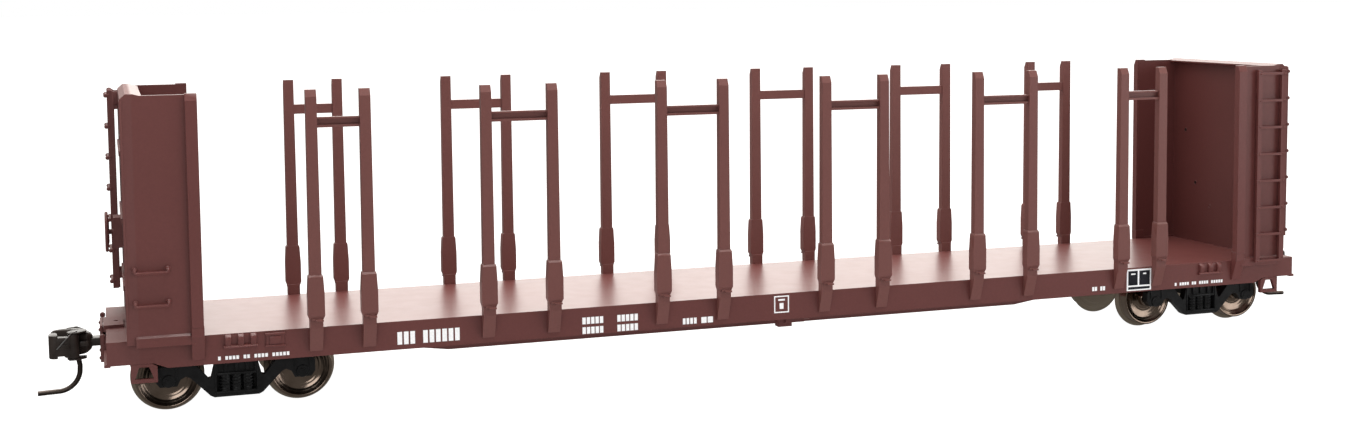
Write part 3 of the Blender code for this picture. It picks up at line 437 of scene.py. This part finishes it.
class Builder:
    """Collects several closed shapes, all given in millimetres, into one mesh piece."""

    def __init__(self):
        self.shape = bmesh.new()

    def _turn(self, verts, matrix):
        """Moves corners by a matrix, if one is given."""
        if matrix is not None:
            bmesh.ops.transform(self.shape, matrix=matrix, verts=verts)

    def _round(self, edges, bevel):
        """Rounds edges in two steps and gives back the faces that this makes."""
        done = bmesh.ops.bevel(
            self.shape, geom=edges, offset=bevel * MM, segments=2, affect="EDGES", profile=0.5
        )
        return done["faces"]

    def _skin(self, one, two):
        """Joins two rings of as many corners with a band of faces."""
        count = len(one)
        for index in range(count):
            after = (index + 1) % count
            self.shape.faces.new((one[index], one[after], two[after], two[index]))

    def _cap(self, rings):
        """Closes a row of rings at both ends."""
        self.shape.faces.new(list(reversed(rings[0])))
        self.shape.faces.new(rings[-1])

    def box(self, low, high, bevel=0.0, matrix=None):
        """A block between two corners, with rounded edges if bevel isn't 0."""
        low, high = Vector(low) * MM, Vector(high) * MM
        made = bmesh.ops.create_cube(self.shape, size=1.0)
        verts = made["verts"]
        bmesh.ops.scale(self.shape, vec=high - low, verts=verts)
        bmesh.ops.translate(self.shape, vec=(low + high) / 2, verts=verts)
        if bevel:
            faces = self._round(list({edge for vert in verts for edge in vert.link_edges}), bevel)
            verts = list({vert for face in faces for vert in face.verts})
        self._turn(verts, matrix)

    def rod(self, radius, start, end, sides=16, end_radius=None, matrix=None):
        """A cylinder between two points, or a cone if end_radius is given."""
        start, end = Vector(start) * MM, Vector(end) * MM
        last = radius if end_radius is None else end_radius
        made = bmesh.ops.create_cone(
            self.shape,
            cap_ends=True,
            segments=sides,
            radius1=radius * MM,
            radius2=last * MM,
            depth=(end - start).length,
        )
        turn = (end - start).to_track_quat("Z", "Y").to_matrix().to_4x4()
        move = Matrix.Translation((start + end) / 2) @ turn
        bmesh.ops.transform(self.shape, matrix=move, verts=made["verts"])
        self._turn(made["verts"], matrix)

    def ball(self, radius, centre, squash=(1.0, 1.0, 1.0)):
        """A sphere, squashed along the axes."""
        made = bmesh.ops.create_uvsphere(
            self.shape, u_segments=12, v_segments=8, radius=radius * MM
        )
        bmesh.ops.scale(self.shape, vec=squash, verts=made["verts"])
        bmesh.ops.translate(self.shape, vec=Vector(centre) * MM, verts=made["verts"])

    def tube(self, points, radius, sides=10, closed=False, matrix=None):
        """A round tube along points, or round them if closed."""
        path = [Vector(point) * MM for point in points]
        count = len(path)
        rings = []
        reference = None
        for index, point in enumerate(path):
            before = path[(index - 1) % count] if closed or index else point
            after = path[(index + 1) % count] if closed or index < count - 1 else point
            along = (after - before).normalized()
            if reference is None:
                reference = along.orthogonal().normalized()
            side = (reference - along * reference.dot(along)).normalized()
            reference = side
            other = along.cross(side)
            ring = []
            for right, up in circle(1.0, sides):
                offset = side * right + other * up
                ring.append(self.shape.verts.new(point + offset * radius * MM))
            rings.append(ring)
        for index in range(count if closed else count - 1):
            self._skin(rings[index], rings[(index + 1) % count])
        if not closed:
            self._cap(rings)
        self._turn([vert for ring in rings for vert in ring], matrix)

    def lathe(self, profile, sides):
        """A closed (radius, height) loop turned about the Y axis, its outer side first."""
        rings = []
        for number in range(sides):
            angle = math.tau * number / sides
            ring = []
            for radius, height in profile:
                place = vec(radius * math.cos(angle), height, radius * math.sin(angle))
                ring.append(self.shape.verts.new(place))
            rings.append(ring)
        for number in range(sides):
            self._skin(rings[number], rings[(number + 1) % sides])

    def loft(self, stations, sides=20):
        """A rounded-square tube along X. Each station is (x, y low, y high, z low, z high)."""
        rings = []
        for across, near, far, low, high in stations:
            ring = []
            for number in range(sides):
                angle = math.tau * (number + 0.5) / sides
                parts = (math.cos(angle), math.sin(angle))
                right, rise = (math.copysign(abs(part) ** 0.5, part) for part in parts)
                side = (near + far) / 2 + right * (far - near) / 2
                up = (low + high) / 2 + rise * (high - low) / 2
                ring.append(self.shape.verts.new(vec(across, side, up)))
            rings.append(ring)
        for one, two in zip(rings, rings[1:]):
            self._skin(one, two)
        self._cap(rings)

    def prism(self, outline, axis, low, high, bevel=0.0):
        """A flat outline pushed along an axis, with its edges rounded if bevel isn't 0."""
        order = {"X": (1, 2, 0), "Y": (0, 2, 1), "Z": (0, 1, 2)}[axis]
        sides = []
        for level in (low, high):
            ring = []
            for across, up in outline:
                place = [0.0, 0.0, 0.0]
                place[order[0]], place[order[1]], place[order[2]] = across, up, level
                ring.append(self.shape.verts.new(Vector(place) * MM))
            sides.append(ring)
        count = len(outline)
        faces = [self.shape.faces.new(sides[0]), self.shape.faces.new(list(reversed(sides[1])))]
        for index in range(count):
            after = (index + 1) % count
            corner = (sides[0][index], sides[1][index], sides[1][after], sides[0][after])
            faces.append(self.shape.faces.new(corner))
        bmesh.ops.recalc_face_normals(self.shape, faces=faces)
        if bevel:
            self._round(list({edge for face in faces for edge in face.edges}), bevel)

    def done(self, name, body, slot, surface=None, replaces=(), matrix=None, angle=35.0):
        """Makes the piece, rides it on its body and gives it its finish."""
        bmesh.ops.recalc_face_normals(self.shape, faces=self.shape.faces)
        mesh = bpy.data.meshes.new(name)
        self.shape.to_mesh(mesh)
        self.shape.free()
        mesh.shade_smooth()
        mesh.set_sharp_from_angle(angle=math.radians(angle))
        mesh.materials.append(surface or MATERIALS[slot])
        piece = bpy.data.objects.new(name, mesh)
        bpy.context.scene.collection.objects.link(piece)
        if matrix is not None:
            piece.matrix_world = matrix
        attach(piece, body)
        if replaces:
            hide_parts(*replaces)


# CAD nodes that stay: soft edges and their finish -------------------------------------------


def finish_cad_nodes():
    """Finishes and softened edges for the CAD nodes. Weld comes first, so that bevels join."""
    slots = {part["node"]: part["material_slot"] for part in frame["record"]["subparts"]}
    for name, node in NODES.items():
        node.data.materials.clear()
        node.data.materials.append(MATERIALS[slots[name]])
        weld = node.modifiers.new("weld", "WELD")
        weld.merge_threshold = WELD_REACH * MM
        bevel = node.modifiers.new("soft_edges", "BEVEL")
        bevel.width = SOFT_EDGE * MM
        bevel.segments = 2
        bevel.limit_method = "ANGLE"
        bevel.angle_limit = math.radians(SOFT_EDGE_ANGLE)
        bevel.use_clamp_overlap = True
        bevel.harden_normals = True


# Wheels ------------------------------------------------------------------------------------


def wheel_profile(face, back, tread, flange, bore):
    """(radius, height) pairs: hub, dished plate, narrow rim, coned tread, fillet, flange, back."""
    hub = [(bore, face - 0.22), (bore + 0.2, face - 0.1), (1.2, face - 0.1), (1.32, face - 0.2)]
    dish = [(1.42, face - 0.98), (2.0, face - 1.06), (2.7, face - 1.0), (3.3, face - 0.86)]
    dish += [(3.8, face - 0.64), (4.15, face - 0.40), (4.3, face - 0.28)]
    lip = [(4.34, face - 0.08), (4.40, face - 0.02)]
    rim = [(4.46, face), (tread - 0.16, face), (tread - 0.07, face - 0.04), (tread, face - 0.14)]
    coned = [(tread + 0.03, face - 0.8), (tread + 0.06, back + 1.0)]
    fillet = [(tread + 0.12, back + 0.82), (tread + 0.30, back + 0.70)]
    crown = []
    tip = 0.22
    for step in range(5):
        angle = math.radians(70 - step * 35)
        across, up = tip * math.cos(angle), tip * math.sin(angle)
        crown.append((flange - tip + across, back + 0.36 + up))
    inner = [(flange - 0.42, back + 0.06), (flange - 0.6, back), (1.6, back), (bore, back)]
    return hub + dish + lip + rim + coned + fillet + crown + inner


def wheels():
    """The eight turned wheels, faces outwards."""
    flange_depth, bore = 0.665, 0.80
    for end in "ab":
        for place in ("inner", "outer"):
            for number in (1, 2):
                node = f"wheel_{end}_{place}_{number}"
                low, high = (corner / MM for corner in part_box(node))
                back, face = sorted((abs(low.y), abs(high.y)))
                flange = (high.z - low.z) / 2
                made = Builder()
                made.lathe(wheel_profile(face, back, flange - flange_depth, flange, bore), 96)
                centre = Matrix.Translation(vec((low.x + high.x) / 2, 0, (low.z + high.z) / 2))
                turn = Matrix.Identity(4) if low.y > 0 else HALF_TURN
                made.done(
                    f"turned_{node}",
                    f"wheelset_{end}_{place}",
                    "wheel_metal",
                    replaces=[node],
                    matrix=centre @ turn,
                    angle=28.0,
                )


# Trucks ------------------------------------------------------------------------------------


def truck_details():
    """Springs, bearing caps, ribs and bolster ends on both side frames of each truck."""
    outer = max(abs(corner.y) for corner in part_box("truck_frame_a")) / MM
    spring_y, spring_foot, spring_rise = -12.05, 3.36, 2.42
    coil_pitch, core_pitch = 1.75, 1.62
    coil_radius, coil_turns, coil_steps = 0.73, 5, 14
    for end, turn in ENDS:
        made = Builder()
        for side in (Matrix.Identity(4), HALF_TURN):
            for number in (-1, 0, 1):
                points = []
                for step in range(coil_turns * coil_steps + 1):
                    angle = math.tau * step / coil_steps
                    across = number * coil_pitch + coil_radius * math.cos(angle)
                    rise = spring_foot + spring_rise * step / (coil_turns * coil_steps)
                    points.append((across, spring_y + coil_radius * math.sin(angle), rise))
                made.tube(points, 0.15, 8, matrix=side)
                core = number * core_pitch
                made.rod(0.5, (core, spring_y, 3.3), (core, spring_y, 5.85), 12, matrix=side)
            made.box((-2.96, -11.5, 3.2), (2.96, -11.32, 6.0), matrix=side)
            for reach in (-HALF_WHEELBASE, HALF_WHEELBASE):
                spot = (reach, -outer + 0.05, AXLE_Z)
                made.rod(1.0, spot, (reach, -outer - 0.16, AXLE_Z), 24, 0.92, matrix=side)
                start, finish = (reach, -outer - 0.1, AXLE_Z), (reach, -outer - 0.24, AXLE_Z)
                made.rod(0.45, start, finish, 16, matrix=side)
                for number in range(3):
                    angle = math.radians(90 + 120 * number)
                    bolt = (reach + 0.7 * math.cos(angle), AXLE_Z + 0.7 * math.sin(angle))
                    start = (bolt[0], -outer - 0.12, bolt[1])
                    made.rod(0.14, start, (bolt[0], -outer - 0.26, bolt[1]), 6, matrix=side)
                for offset in (-1.15, 1.15):
                    across = reach + offset
                    low = (across - 0.12, -outer - 0.12, 6.0)
                    made.box(low, (across + 0.12, -outer + 0.1, 7.5), 0.05, matrix=side)
                low, high = sorted(math.copysign(across, reach) for across in (8.6, 11.3))
                made.box((low, -outer - 0.12, 7.45), (high, -outer + 0.1, 7.7), 0.05, matrix=side)
            made.box((-2.85, -outer - 0.14, 5.8), (2.85, -outer + 0.2, 6.15), 0.08, matrix=side)
            made.box((-3.2, -outer - 0.08, 3.02), (3.2, -outer + 0.1, 3.24), 0.05, matrix=side)
            made.box((-3.2, -outer - 0.08, 2.6), (3.2, -outer + 0.1, 2.75), 0.04, matrix=side)
            for across in (-3.1, 3.1):
                low = (across - 0.12, -outer - 0.1, 3.1)
                made.box(low, (across + 0.12, -outer + 0.1, 7.7), 0.05, matrix=side)
            for across in (-1.6, 0.0, 1.6):
                low = (across - 0.2, -outer + 0.05, 6.3)
                made.box(low, (across + 0.2, -outer + 0.32, 7.6), 0.05, matrix=side)
        centre = Matrix.Translation(vec(TRUCK_CENTRE, 0, 0))
        made.done(f"truck_detail_{end}", f"truck_{end}", "truck_plastic", matrix=turn @ centre)


# Ladders, grab irons, brake wheel ----------------------------------------------------------


def ladder_details():
    """Bolt heads on the side ladders; rails, brackets and rung ends on the end ladders."""
    side_foot, end_foot = 12.5, 17.7
    for end, turn in ENDS:
        low, high = (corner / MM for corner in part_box(f"side_ladder_{end}"))
        made = Builder()
        face = -max(abs(low.y), abs(high.y))
        reach = (min(abs(low.x), abs(high.x)), max(abs(low.x), abs(high.x)))
        for number in range(SIDE_LADDER_RUNGS):
            height = side_foot + LADDER_RUNG_RISE * number
            for across in (reach[0] + 0.55, reach[1] - 0.6):
                made.ball(0.2, (across, face + 0.02, height), (1.0, 0.6, 1.0))
        low, high = (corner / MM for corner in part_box(f"end_ladder_{end}"))
        rail = 103.9
        outer = max(abs(low.x), abs(high.x))
        span = sorted((abs(low.y), abs(high.y)))
        for across in (-span[0] - 0.45, -span[1] + 0.45):
            made.box((rail - 0.2, across - 0.35, 16.7), (rail + 0.15, across + 0.35, 48.4), 0.06)
            for foot, top in ((46.3, 48.3), (18.2, 19.3)):
                made.box((103.0, across - 0.3, foot), (rail + 0.3, across + 0.3, top), 0.1)
            made.ball(0.42, (rail + 0.5, across, 48.45), (1.0, 0.9, 0.7))
            for number in range(END_LADDER_RUNGS):
                height = end_foot + LADDER_RUNG_RISE * number
                made.ball(0.34, (outer - 0.12, across, height), (1.0, 1.1, 1.0))
        made.done(f"ladder_details_{end}", "root", "body_paint", matrix=turn)


def grab_irons():
    """Drop grab irons bent from wire, with a bolted foot at each end."""
    inset, bend = 0.24, 0.25
    for end, turn in (("b", Matrix.Identity(4)), ("a", HALF_TURN)):
        for level in ("lower", "upper"):
            node = f"grab_iron_{end}_{level}"
            low, high = (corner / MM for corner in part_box(node))
            reach = sorted((abs(low.x), abs(high.x)))
            middle = -(reach[0] + reach[1]) / 2
            half = (reach[1] - reach[0]) / 2 - inset
            outer = max(abs(low.y), abs(high.y)) - inset
            foot = min(abs(low.y), abs(high.y))
            bar, bolt = low.z + inset, high.z - inset
            points = []
            for side in (-1, 1):
                across = middle + side * half
                leg = [(across, -foot, bolt), (across, -outer + bend, bolt)]
                for step in range(1, 4):
                    angle = math.radians(step * 30)
                    out, down = bend * math.sin(angle), bend * (1 - math.cos(angle))
                    leg.append((across, -outer + bend - out, bolt - down))
                for step in range(4):
                    angle = math.radians(step * 30)
                    inward = -side * bend * (1 - math.cos(angle))
                    leg.append((across + inward, -outer, bar + bend - bend * math.sin(angle)))
                points += leg if side < 0 else leg[::-1]
            made = Builder()
            made.tube(points, bend)
            for side in (-1, 1):
                across = middle + side * half
                made.ball(0.42, (across, -foot - 0.12, bolt), (1.0, 0.8, 1.0))
            made.done(f"bent_{node}", "root", "body_paint", replaces=[node], matrix=turn)


def brake_wheel():
    """A round rim with six dished spokes, a hub and its nut."""
    low, high = (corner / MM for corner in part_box("brake_wheel"))
    across, up = (low.y + high.y) / 2, (low.z + high.z) / 2
    wire = 0.25
    radius = (high.y - low.y) / 2 - wire
    plane = low.x + wire
    made = Builder()
    rim = [(plane, across + right, up + rise) for right, rise in circle(radius, 48)]
    made.tube(rim, wire, closed=True)
    for number in range(6):
        angle = math.radians(90 + number * 60)
        right, rise = radius * math.cos(angle), radius * math.sin(angle)
        middle = (plane + 0.25, across + right / 2, up + rise / 2)
        tip = (plane, across + right, up + rise)
        made.tube([(plane + 0.15, across, up), middle, tip], 0.17, 8)
    made.rod(0.72, (plane - 0.2, across, up), (plane + 0.35, across, up), 20)
    made.rod(0.4, (plane, across, up), (high.x, across, up), 16)
    made.rod(0.3, (plane - 0.25, across, up), (plane, across, up), 6)
    made.done("spoked_brake_wheel", "brake_wheel_unit", "body_paint", replaces=["brake_wheel"])


# Couplers ----------------------------------------------------------------------------------


def coupler_heads():
    """Cast heads that taper to the shank, with lugs for the knuckle, and the knuckle springs."""
    shank_low, shank_high = 9.45, 10.7
    pivot_x, pivot_radius = 101.0, 1.9
    jaw = [
        (108.1, -0.8, 0.8, 9.4, 10.9),
        (108.35, -1.3, 1.35, 8.9, 11.3),
        (108.9, -1.8, 1.75, 8.45, 11.65),
        (109.4, -2.2, 1.5, 8.2, 11.85),
        (110.3, -2.55, 1.1, 8.0, 12.0),
        (111.2, -2.85, 0.85, 7.9, 12.0),
    ]
    guard = [
        (110.9, -2.75, -0.3, 8.0, 12.0),
        (112.2, -3.05, -1.35, 8.15, 11.85),
        (113.3, -3.2, -2.1, 8.3, 11.7),
        (113.9, -3.28, -2.5, 8.5, 11.55),
        (114.25, -3.1, -2.7, 8.8, 11.3),
    ]
    crest = [(109.0, 11.7), (110.2, 12.12), (111.2, 12.12), (111.2, 11.7)]
    rib = [(109.3, 11.6), (110.4, 12.1), (111.9, 11.95), (111.9, 11.6)]
    chin = [(110.5, 8.3), (111.9, 7.78), (112.3, 8.0), (111.7, 8.5)]
    spring = [(113.3, 3.27, 9.7), (111.5, 3.27, 11.65), (111.1, 3.1, 12.05), (110.4, 2.5, 12.2)]
    pin_x, pin_y = KNUCKLE_PIN_X, KNUCKLE_PIN_Y
    lug = [(109.0, 0.5), (110.9, 0.5), (pin_x + 0.95, pin_y - 0.3), (pin_x + 0.6, pin_y + 0.85)]
    lug += [(pin_x - 0.6, pin_y + 0.85), (109.0, 2.0)]
    for end, turn in ENDS:
        made = Builder()
        made.loft(jaw)
        made.loft(guard)
        made.box((pivot_x, -1.2, shank_low), (108.5, 1.2, shank_high), 0.12)
        low, high = (pivot_x, 0, shank_low - 0.08), (pivot_x, 0, shank_high + 0.08)
        made.rod(pivot_radius, low, high, 32)
        for level in (7.79, 11.86):
            made.prism(lug, "Z", level, level + 0.25, 0.05)
        made.rod(0.42, (pin_x, pin_y, 7.76), (pin_x, pin_y, 12.15), 16)
        made.prism(crest, "Y", -0.35, 0.25, 0.05)
        made.prism(rib, "Y", -2.5, -2.1, 0.05)
        made.prism(chin, "Y", -0.6, 0.9, 0.05)
        made.box((108.7, 1.55, 9.7), (110.0, 2.15, 10.5), 0.12)
        made.box((108.6, -2.15, 9.6), (110.6, -1.7, 10.6), 0.15)
        made.done(
            f"cast_coupler_{end}",
            f"coupler_unit_{end}",
            "coupler_plastic",
            replaces=[f"coupler_{end}"],
            matrix=turn,
        )
        made = Builder()
        made.tube(spring, 0.09, 8)
        made.ball(0.14, spring[-1])
        made.done(f"knuckle_spring_{end}", f"knuckle_unit_{end}", "screw_metal", matrix=turn)


def knuckles():
    """The hooks with rounded noses, pulling faces and pin bosses."""
    pin_x, pin_y = KNUCKLE_PIN_X, KNUCKLE_PIN_Y
    arm = [(pin_x, pin_y + 0.65), (112.2, 2.98), (113.4, 3.05), (113.6, 2.6), (113.4, 1.3)]
    arm += [(112.4, 1.65), (pin_x, pin_y - 0.65)]
    nose = [(113.15, 3.08), (113.9, 2.95), (114.4, 2.5), (114.5, 1.5), (114.45, 0.6), (114.2, 0.0)]
    nose += [(113.8, -0.1), (113.4, 0.15), (113.2, 1.2)]
    for end, turn in ENDS:
        made = Builder()
        made.rod(0.84, (pin_x, pin_y, 8.12), (pin_x, pin_y, 11.78), 24)
        made.prism(arm, "Z", 8.5, 11.4, 0.12)
        made.prism(nose, "Z", 8.14, 11.76, 0.14)
        made.box((111.4, 2.3, 9.5), (113.2, 3.12, 10.3), 0.1)
        made.done(
            f"cast_knuckle_{end}",
            f"knuckle_unit_{end}",
            "coupler_plastic",
            replaces=[f"knuckle_{end}"],
            matrix=turn,
        )


def trip_pins():
    """The curved steel wires under the couplers: a straight stem, an arc and a level end."""
    centre_x, centre_z, radius = 113.4, 5.8, 3.3
    for end, turn in ENDS:
        points = [(110.32, 0, 7.85), (110.2, 0, 7.1), (110.08, 0, 6.4)]
        for step in range(17):
            angle = math.radians(186 + step * 5.0)
            across, up = radius * math.cos(angle), radius * math.sin(angle)
            points.append((centre_x + across, 0, centre_z + up))
        points += [(114.7, 0, 2.47), (116.35, 0, 2.4)]
        made = Builder()
        made.tube(points, 0.39, 16)
        made.done(
            f"bent_trip_pin_{end}",
            f"coupler_unit_{end}",
            "trip_pin_steel",
            replaces=[f"trip_pin_{end}"],
            matrix=turn,
        )


# Fittings on the body ----------------------------------------------------------------------


def sill_fittings():
    """Tie-down lugs and a small framed box on the side sills, and lugs beside each striker."""
    face = -SILL_FACE
    ledge = [(0.1, 10.3), (-0.5, 10.45), (-0.62, 10.6), (-0.5, 10.78), (0.1, 10.9)]
    ledge = [(face + out, up) for out, up in ledge]
    lug = [(0.05, 10.7), (0.05, 12.5), (-0.15, 12.5), (-0.55, 12.1), (-0.6, 11.7), (-0.45, 10.7)]
    lug = [(face + out, up) for out, up in lug]
    lug_width = 0.85
    for end, turn in ENDS:
        made = Builder()
        for start, finish in ((-89.4, -84.45), (84.9, 89.9)):
            made.prism(ledge, "X", start, finish)
            made.box((start + 0.1, face - 0.1, 10.8), (finish - 0.1, face + 0.1, 12.4), 0.04)
            spacing = (finish - start - lug_width - 0.4) / 2
            for number in range(3):
                across = start + 0.2 + number * spacing
                made.prism(lug, "X", across, across + lug_width, 0.07)
        made.box((-83.2, face - 0.22, 10.1), (-80.5, face + 0.1, 12.25), 0.08)
        for low in (10.1, 11.95):
            made.box((-83.35, face - 0.42, low), (-80.35, face - 0.05, low + 0.35), 0.1)
        made.box((-82.7, face - 0.4, 10.6), (-81.0, face - 0.1, 11.8), 0.12)
        for across in (-9.4, 9.4):
            made.box((106.3, across - 0.45, 11.2), (106.75, across + 0.45, 12.7), 0.1)
            made.rod(0.42, (106.6, across - 0.3, 12.35), (106.6, across + 0.3, 12.35), 16)
        for across in (-3.1, 3.1):
            for height in (7.9, 12.3):
                made.ball(0.26, (107.05, across, height), (0.6, 1.0, 1.0))
        made.done(f"sill_fittings_{end}", "root", "body_paint", matrix=turn)


def stake_hooks():
    """The small hook under each stake's sleeve."""
    for side, turn in (("near", Matrix.Identity(4)), ("far", HALF_TURN)):
        made = Builder()
        for number in range(1, FRAMES_PER_SIDE + 1):
            low, high = (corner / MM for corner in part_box(f"stake_frame_{side}_{number}"))
            for stake in (low.x + SLEEVE_HALF_WIDTH, high.x - SLEEVE_HALF_WIDTH):
                across = stake if side == "near" else -stake
                made.box((across - 0.2, -17.38, 13.75), (across + 1.05, -16.9, 14.1), 0.1)
        made.done(f"stake_hooks_{side}", "root", "stake_paint", matrix=turn)


def bulkhead_details():
    """Moulding rings in the end wall, two holding painted shade discs; edge strips, outside ribs,
    glue line.
    """
    inner = END_WALL_INNER
    pits = ((11.5, 34.9), (8.1, 24.5))
    for end, turn in ENDS:
        made = Builder()
        for across, up in (*pits, (3.4, 20.2)):
            ring = [(inner - 0.01, across + right, up + rise) for right, rise in circle(0.36, 20)]
            made.tube(ring, 0.05, 6, closed=True)
        for side in (-1, 1):
            low, high = sorted((side * 16.28, side * 16.40))
            made.box((102.85, low, 14.5), (103.18, high, 48.2), 0.04)
            slope = [(16.25, 13.35), (16.62, 12.98), (16.62, 12.7), (16.25, 12.7)]
            made.prism([(side * out, up) for out, up in slope], "X", 94.2, 101.9)
        for up in (20.0, 30.0, 40.0):
            made.box((103.05, -8.2, up), (103.45, 14.9, up + 0.8), 0.08)
        bead = []
        for step in range(61):
            across = -15.0 + 0.5 * step
            wave = math.sin(step * 2.1) + math.sin(step * 0.83 + 1.0)
            bead.append((inner - 0.05 - 0.03 * wave, across, 12.62 + 0.03 * math.sin(step * 1.7)))
        made.tube(bead, 0.1, 6)
        made.done(f"bulkhead_detail_{end}", "root", "body_paint", matrix=turn)
        # Painted shade: near-black discs stand in for the shadow inside two moulding pits.
        made = Builder()
        for across, up in pits:
            made.rod(0.32, (inner - 0.02, across, up), (inner + 0.1, across, up), 20)
        made.done(f"pit_painted_shade_{end}", "root", "truck_plastic", matrix=turn)


def underbody():
    """Brake rods and the train line pipe under the floor plate, between the trucks."""
    made = Builder()
    bend = [(66, 8.4), (68.6, 8.9), (70, 10.0)]
    train_line = [(-across, 5.2, up) for across, up in reversed(bend)]
    train_line += [(across, 5.2, up) for across, up in bend]
    made.tube(train_line, 0.35, 8)
    made.tube([(26, 8, 8.04), (30, 6.5, 8.04), (64, 6.5, 8.04)], 0.25, 8)
    made.tube([(-10, -8.0, 8.3), (-4, -8.0, 8.3), (4.7, -8.2, 8.3)], 0.25, 8)
    made.tube([(9.4, -8.2, 7.2), (11.5, -8.2, 7.2), (12.4, 0.0, 4.75), (12.9, 8.0, 7.2)], 0.22, 8)
    made.done("brake_piping", "root", "body_paint")


# Markings ----------------------------------------------------------------------------------


def patch(made, low, high, proud=0.03, sunk=0.02):
    """A thin rectangle on the sill between two (across, up) corners."""
    made.box((low[0], -SILL_FACE - proud, low[1]), (high[0], -SILL_FACE + sunk, high[1]))


def blocks(made, start, finish, low, high, widths, gap=0.18):
    """A row of plain blocks on the sill from start to finish; a width of 0 leaves a space."""
    count = len(widths)
    unit = (finish - start - gap * (count - 1)) / sum(width or 1 for width in widths)
    place = start
    for width in widths:
        reach = unit * (width or 1)
        if width:
            patch(made, (place, low), (place + reach, high))
        place += reach + gap


def markings():
    """Generic painted blocks where the real car has lettering. They spell nothing."""
    white, dark = mark_paint(), panel_paint()
    long_row = [1, 0, 1, 1, 1, 1, 0, 1, 1, 0, 1, 1, 1, 1, 0, 1, 1, 1, 1, 1]
    square = (
        ((0.1, 9.3), (2.8, 9.5)),
        ((0.1, 12.0), (2.8, 12.2)),
        ((0.1, 9.5), (0.3, 12.0)),
        ((2.6, 9.5), (2.8, 12.0)),
        ((0.85, 11.35), (2.05, 11.65)),
        ((1.1, 9.95), (1.8, 10.95)),
    )
    panels = (
        ((69.8, 9.35), (71.8, 12.0)),
        ((72.15, 9.35), (74.4, 12.0)),
        ((69.8, 8.6), (74.4, 9.05)),
    )
    tags = (((70.4, 11.3), (71.3, 11.55)), ((72.95, 11.3), (73.6, 11.55)))
    for end, turn in ENDS:
        made = Builder()
        blocks(made, -63.3, -53.5, 8.9, 10.9, [1, 1, 1, 0, 1, 1, 1, 1, 1, 1], 0.28)
        for low in (8.3, 9.9):
            blocks(made, -33.4, -29.9, low, low + 1.1, [1] * 5)
            blocks(made, -27.5, -24.0, low, low + 1.1, [1] * 5)
        blocks(made, -16.2, -10.9, 8.6, 9.6, [1, 1, 1, 1, 0, 2, 2])
        blocks(made, 62.2, 64.9, 8.85, 9.6, [1, 1, 0, 1, 1], 0.12)
        for start in (-90.3, 79.85):
            blocks(made, start, start + 10.5, 8.65, 9.2, long_row, 0.14)
        for low, high in square:
            patch(made, low, high)
        patch(made, (69.5, 8.35), (74.7, 12.3))
        for low, high in tags:
            patch(made, low, high, 0.07, 0.0)
        made.done(f"white_marks_{end}", "root", "body_paint", surface=white, matrix=turn)
        made = Builder()
        for low, high in panels:
            patch(made, low, high, 0.05, -0.01)
        made.done(f"dark_marks_{end}", "root", "body_paint", surface=dark, matrix=turn)


camera()
studio()
floor()
finish_cad_nodes()
wheels()
truck_details()
ladder_details()
grab_irons()
brake_wheel()
coupler_heads()
knuckles()
trip_pins()
sill_fittings()
stake_hooks()
bulkhead_details()
underbody()
markings()
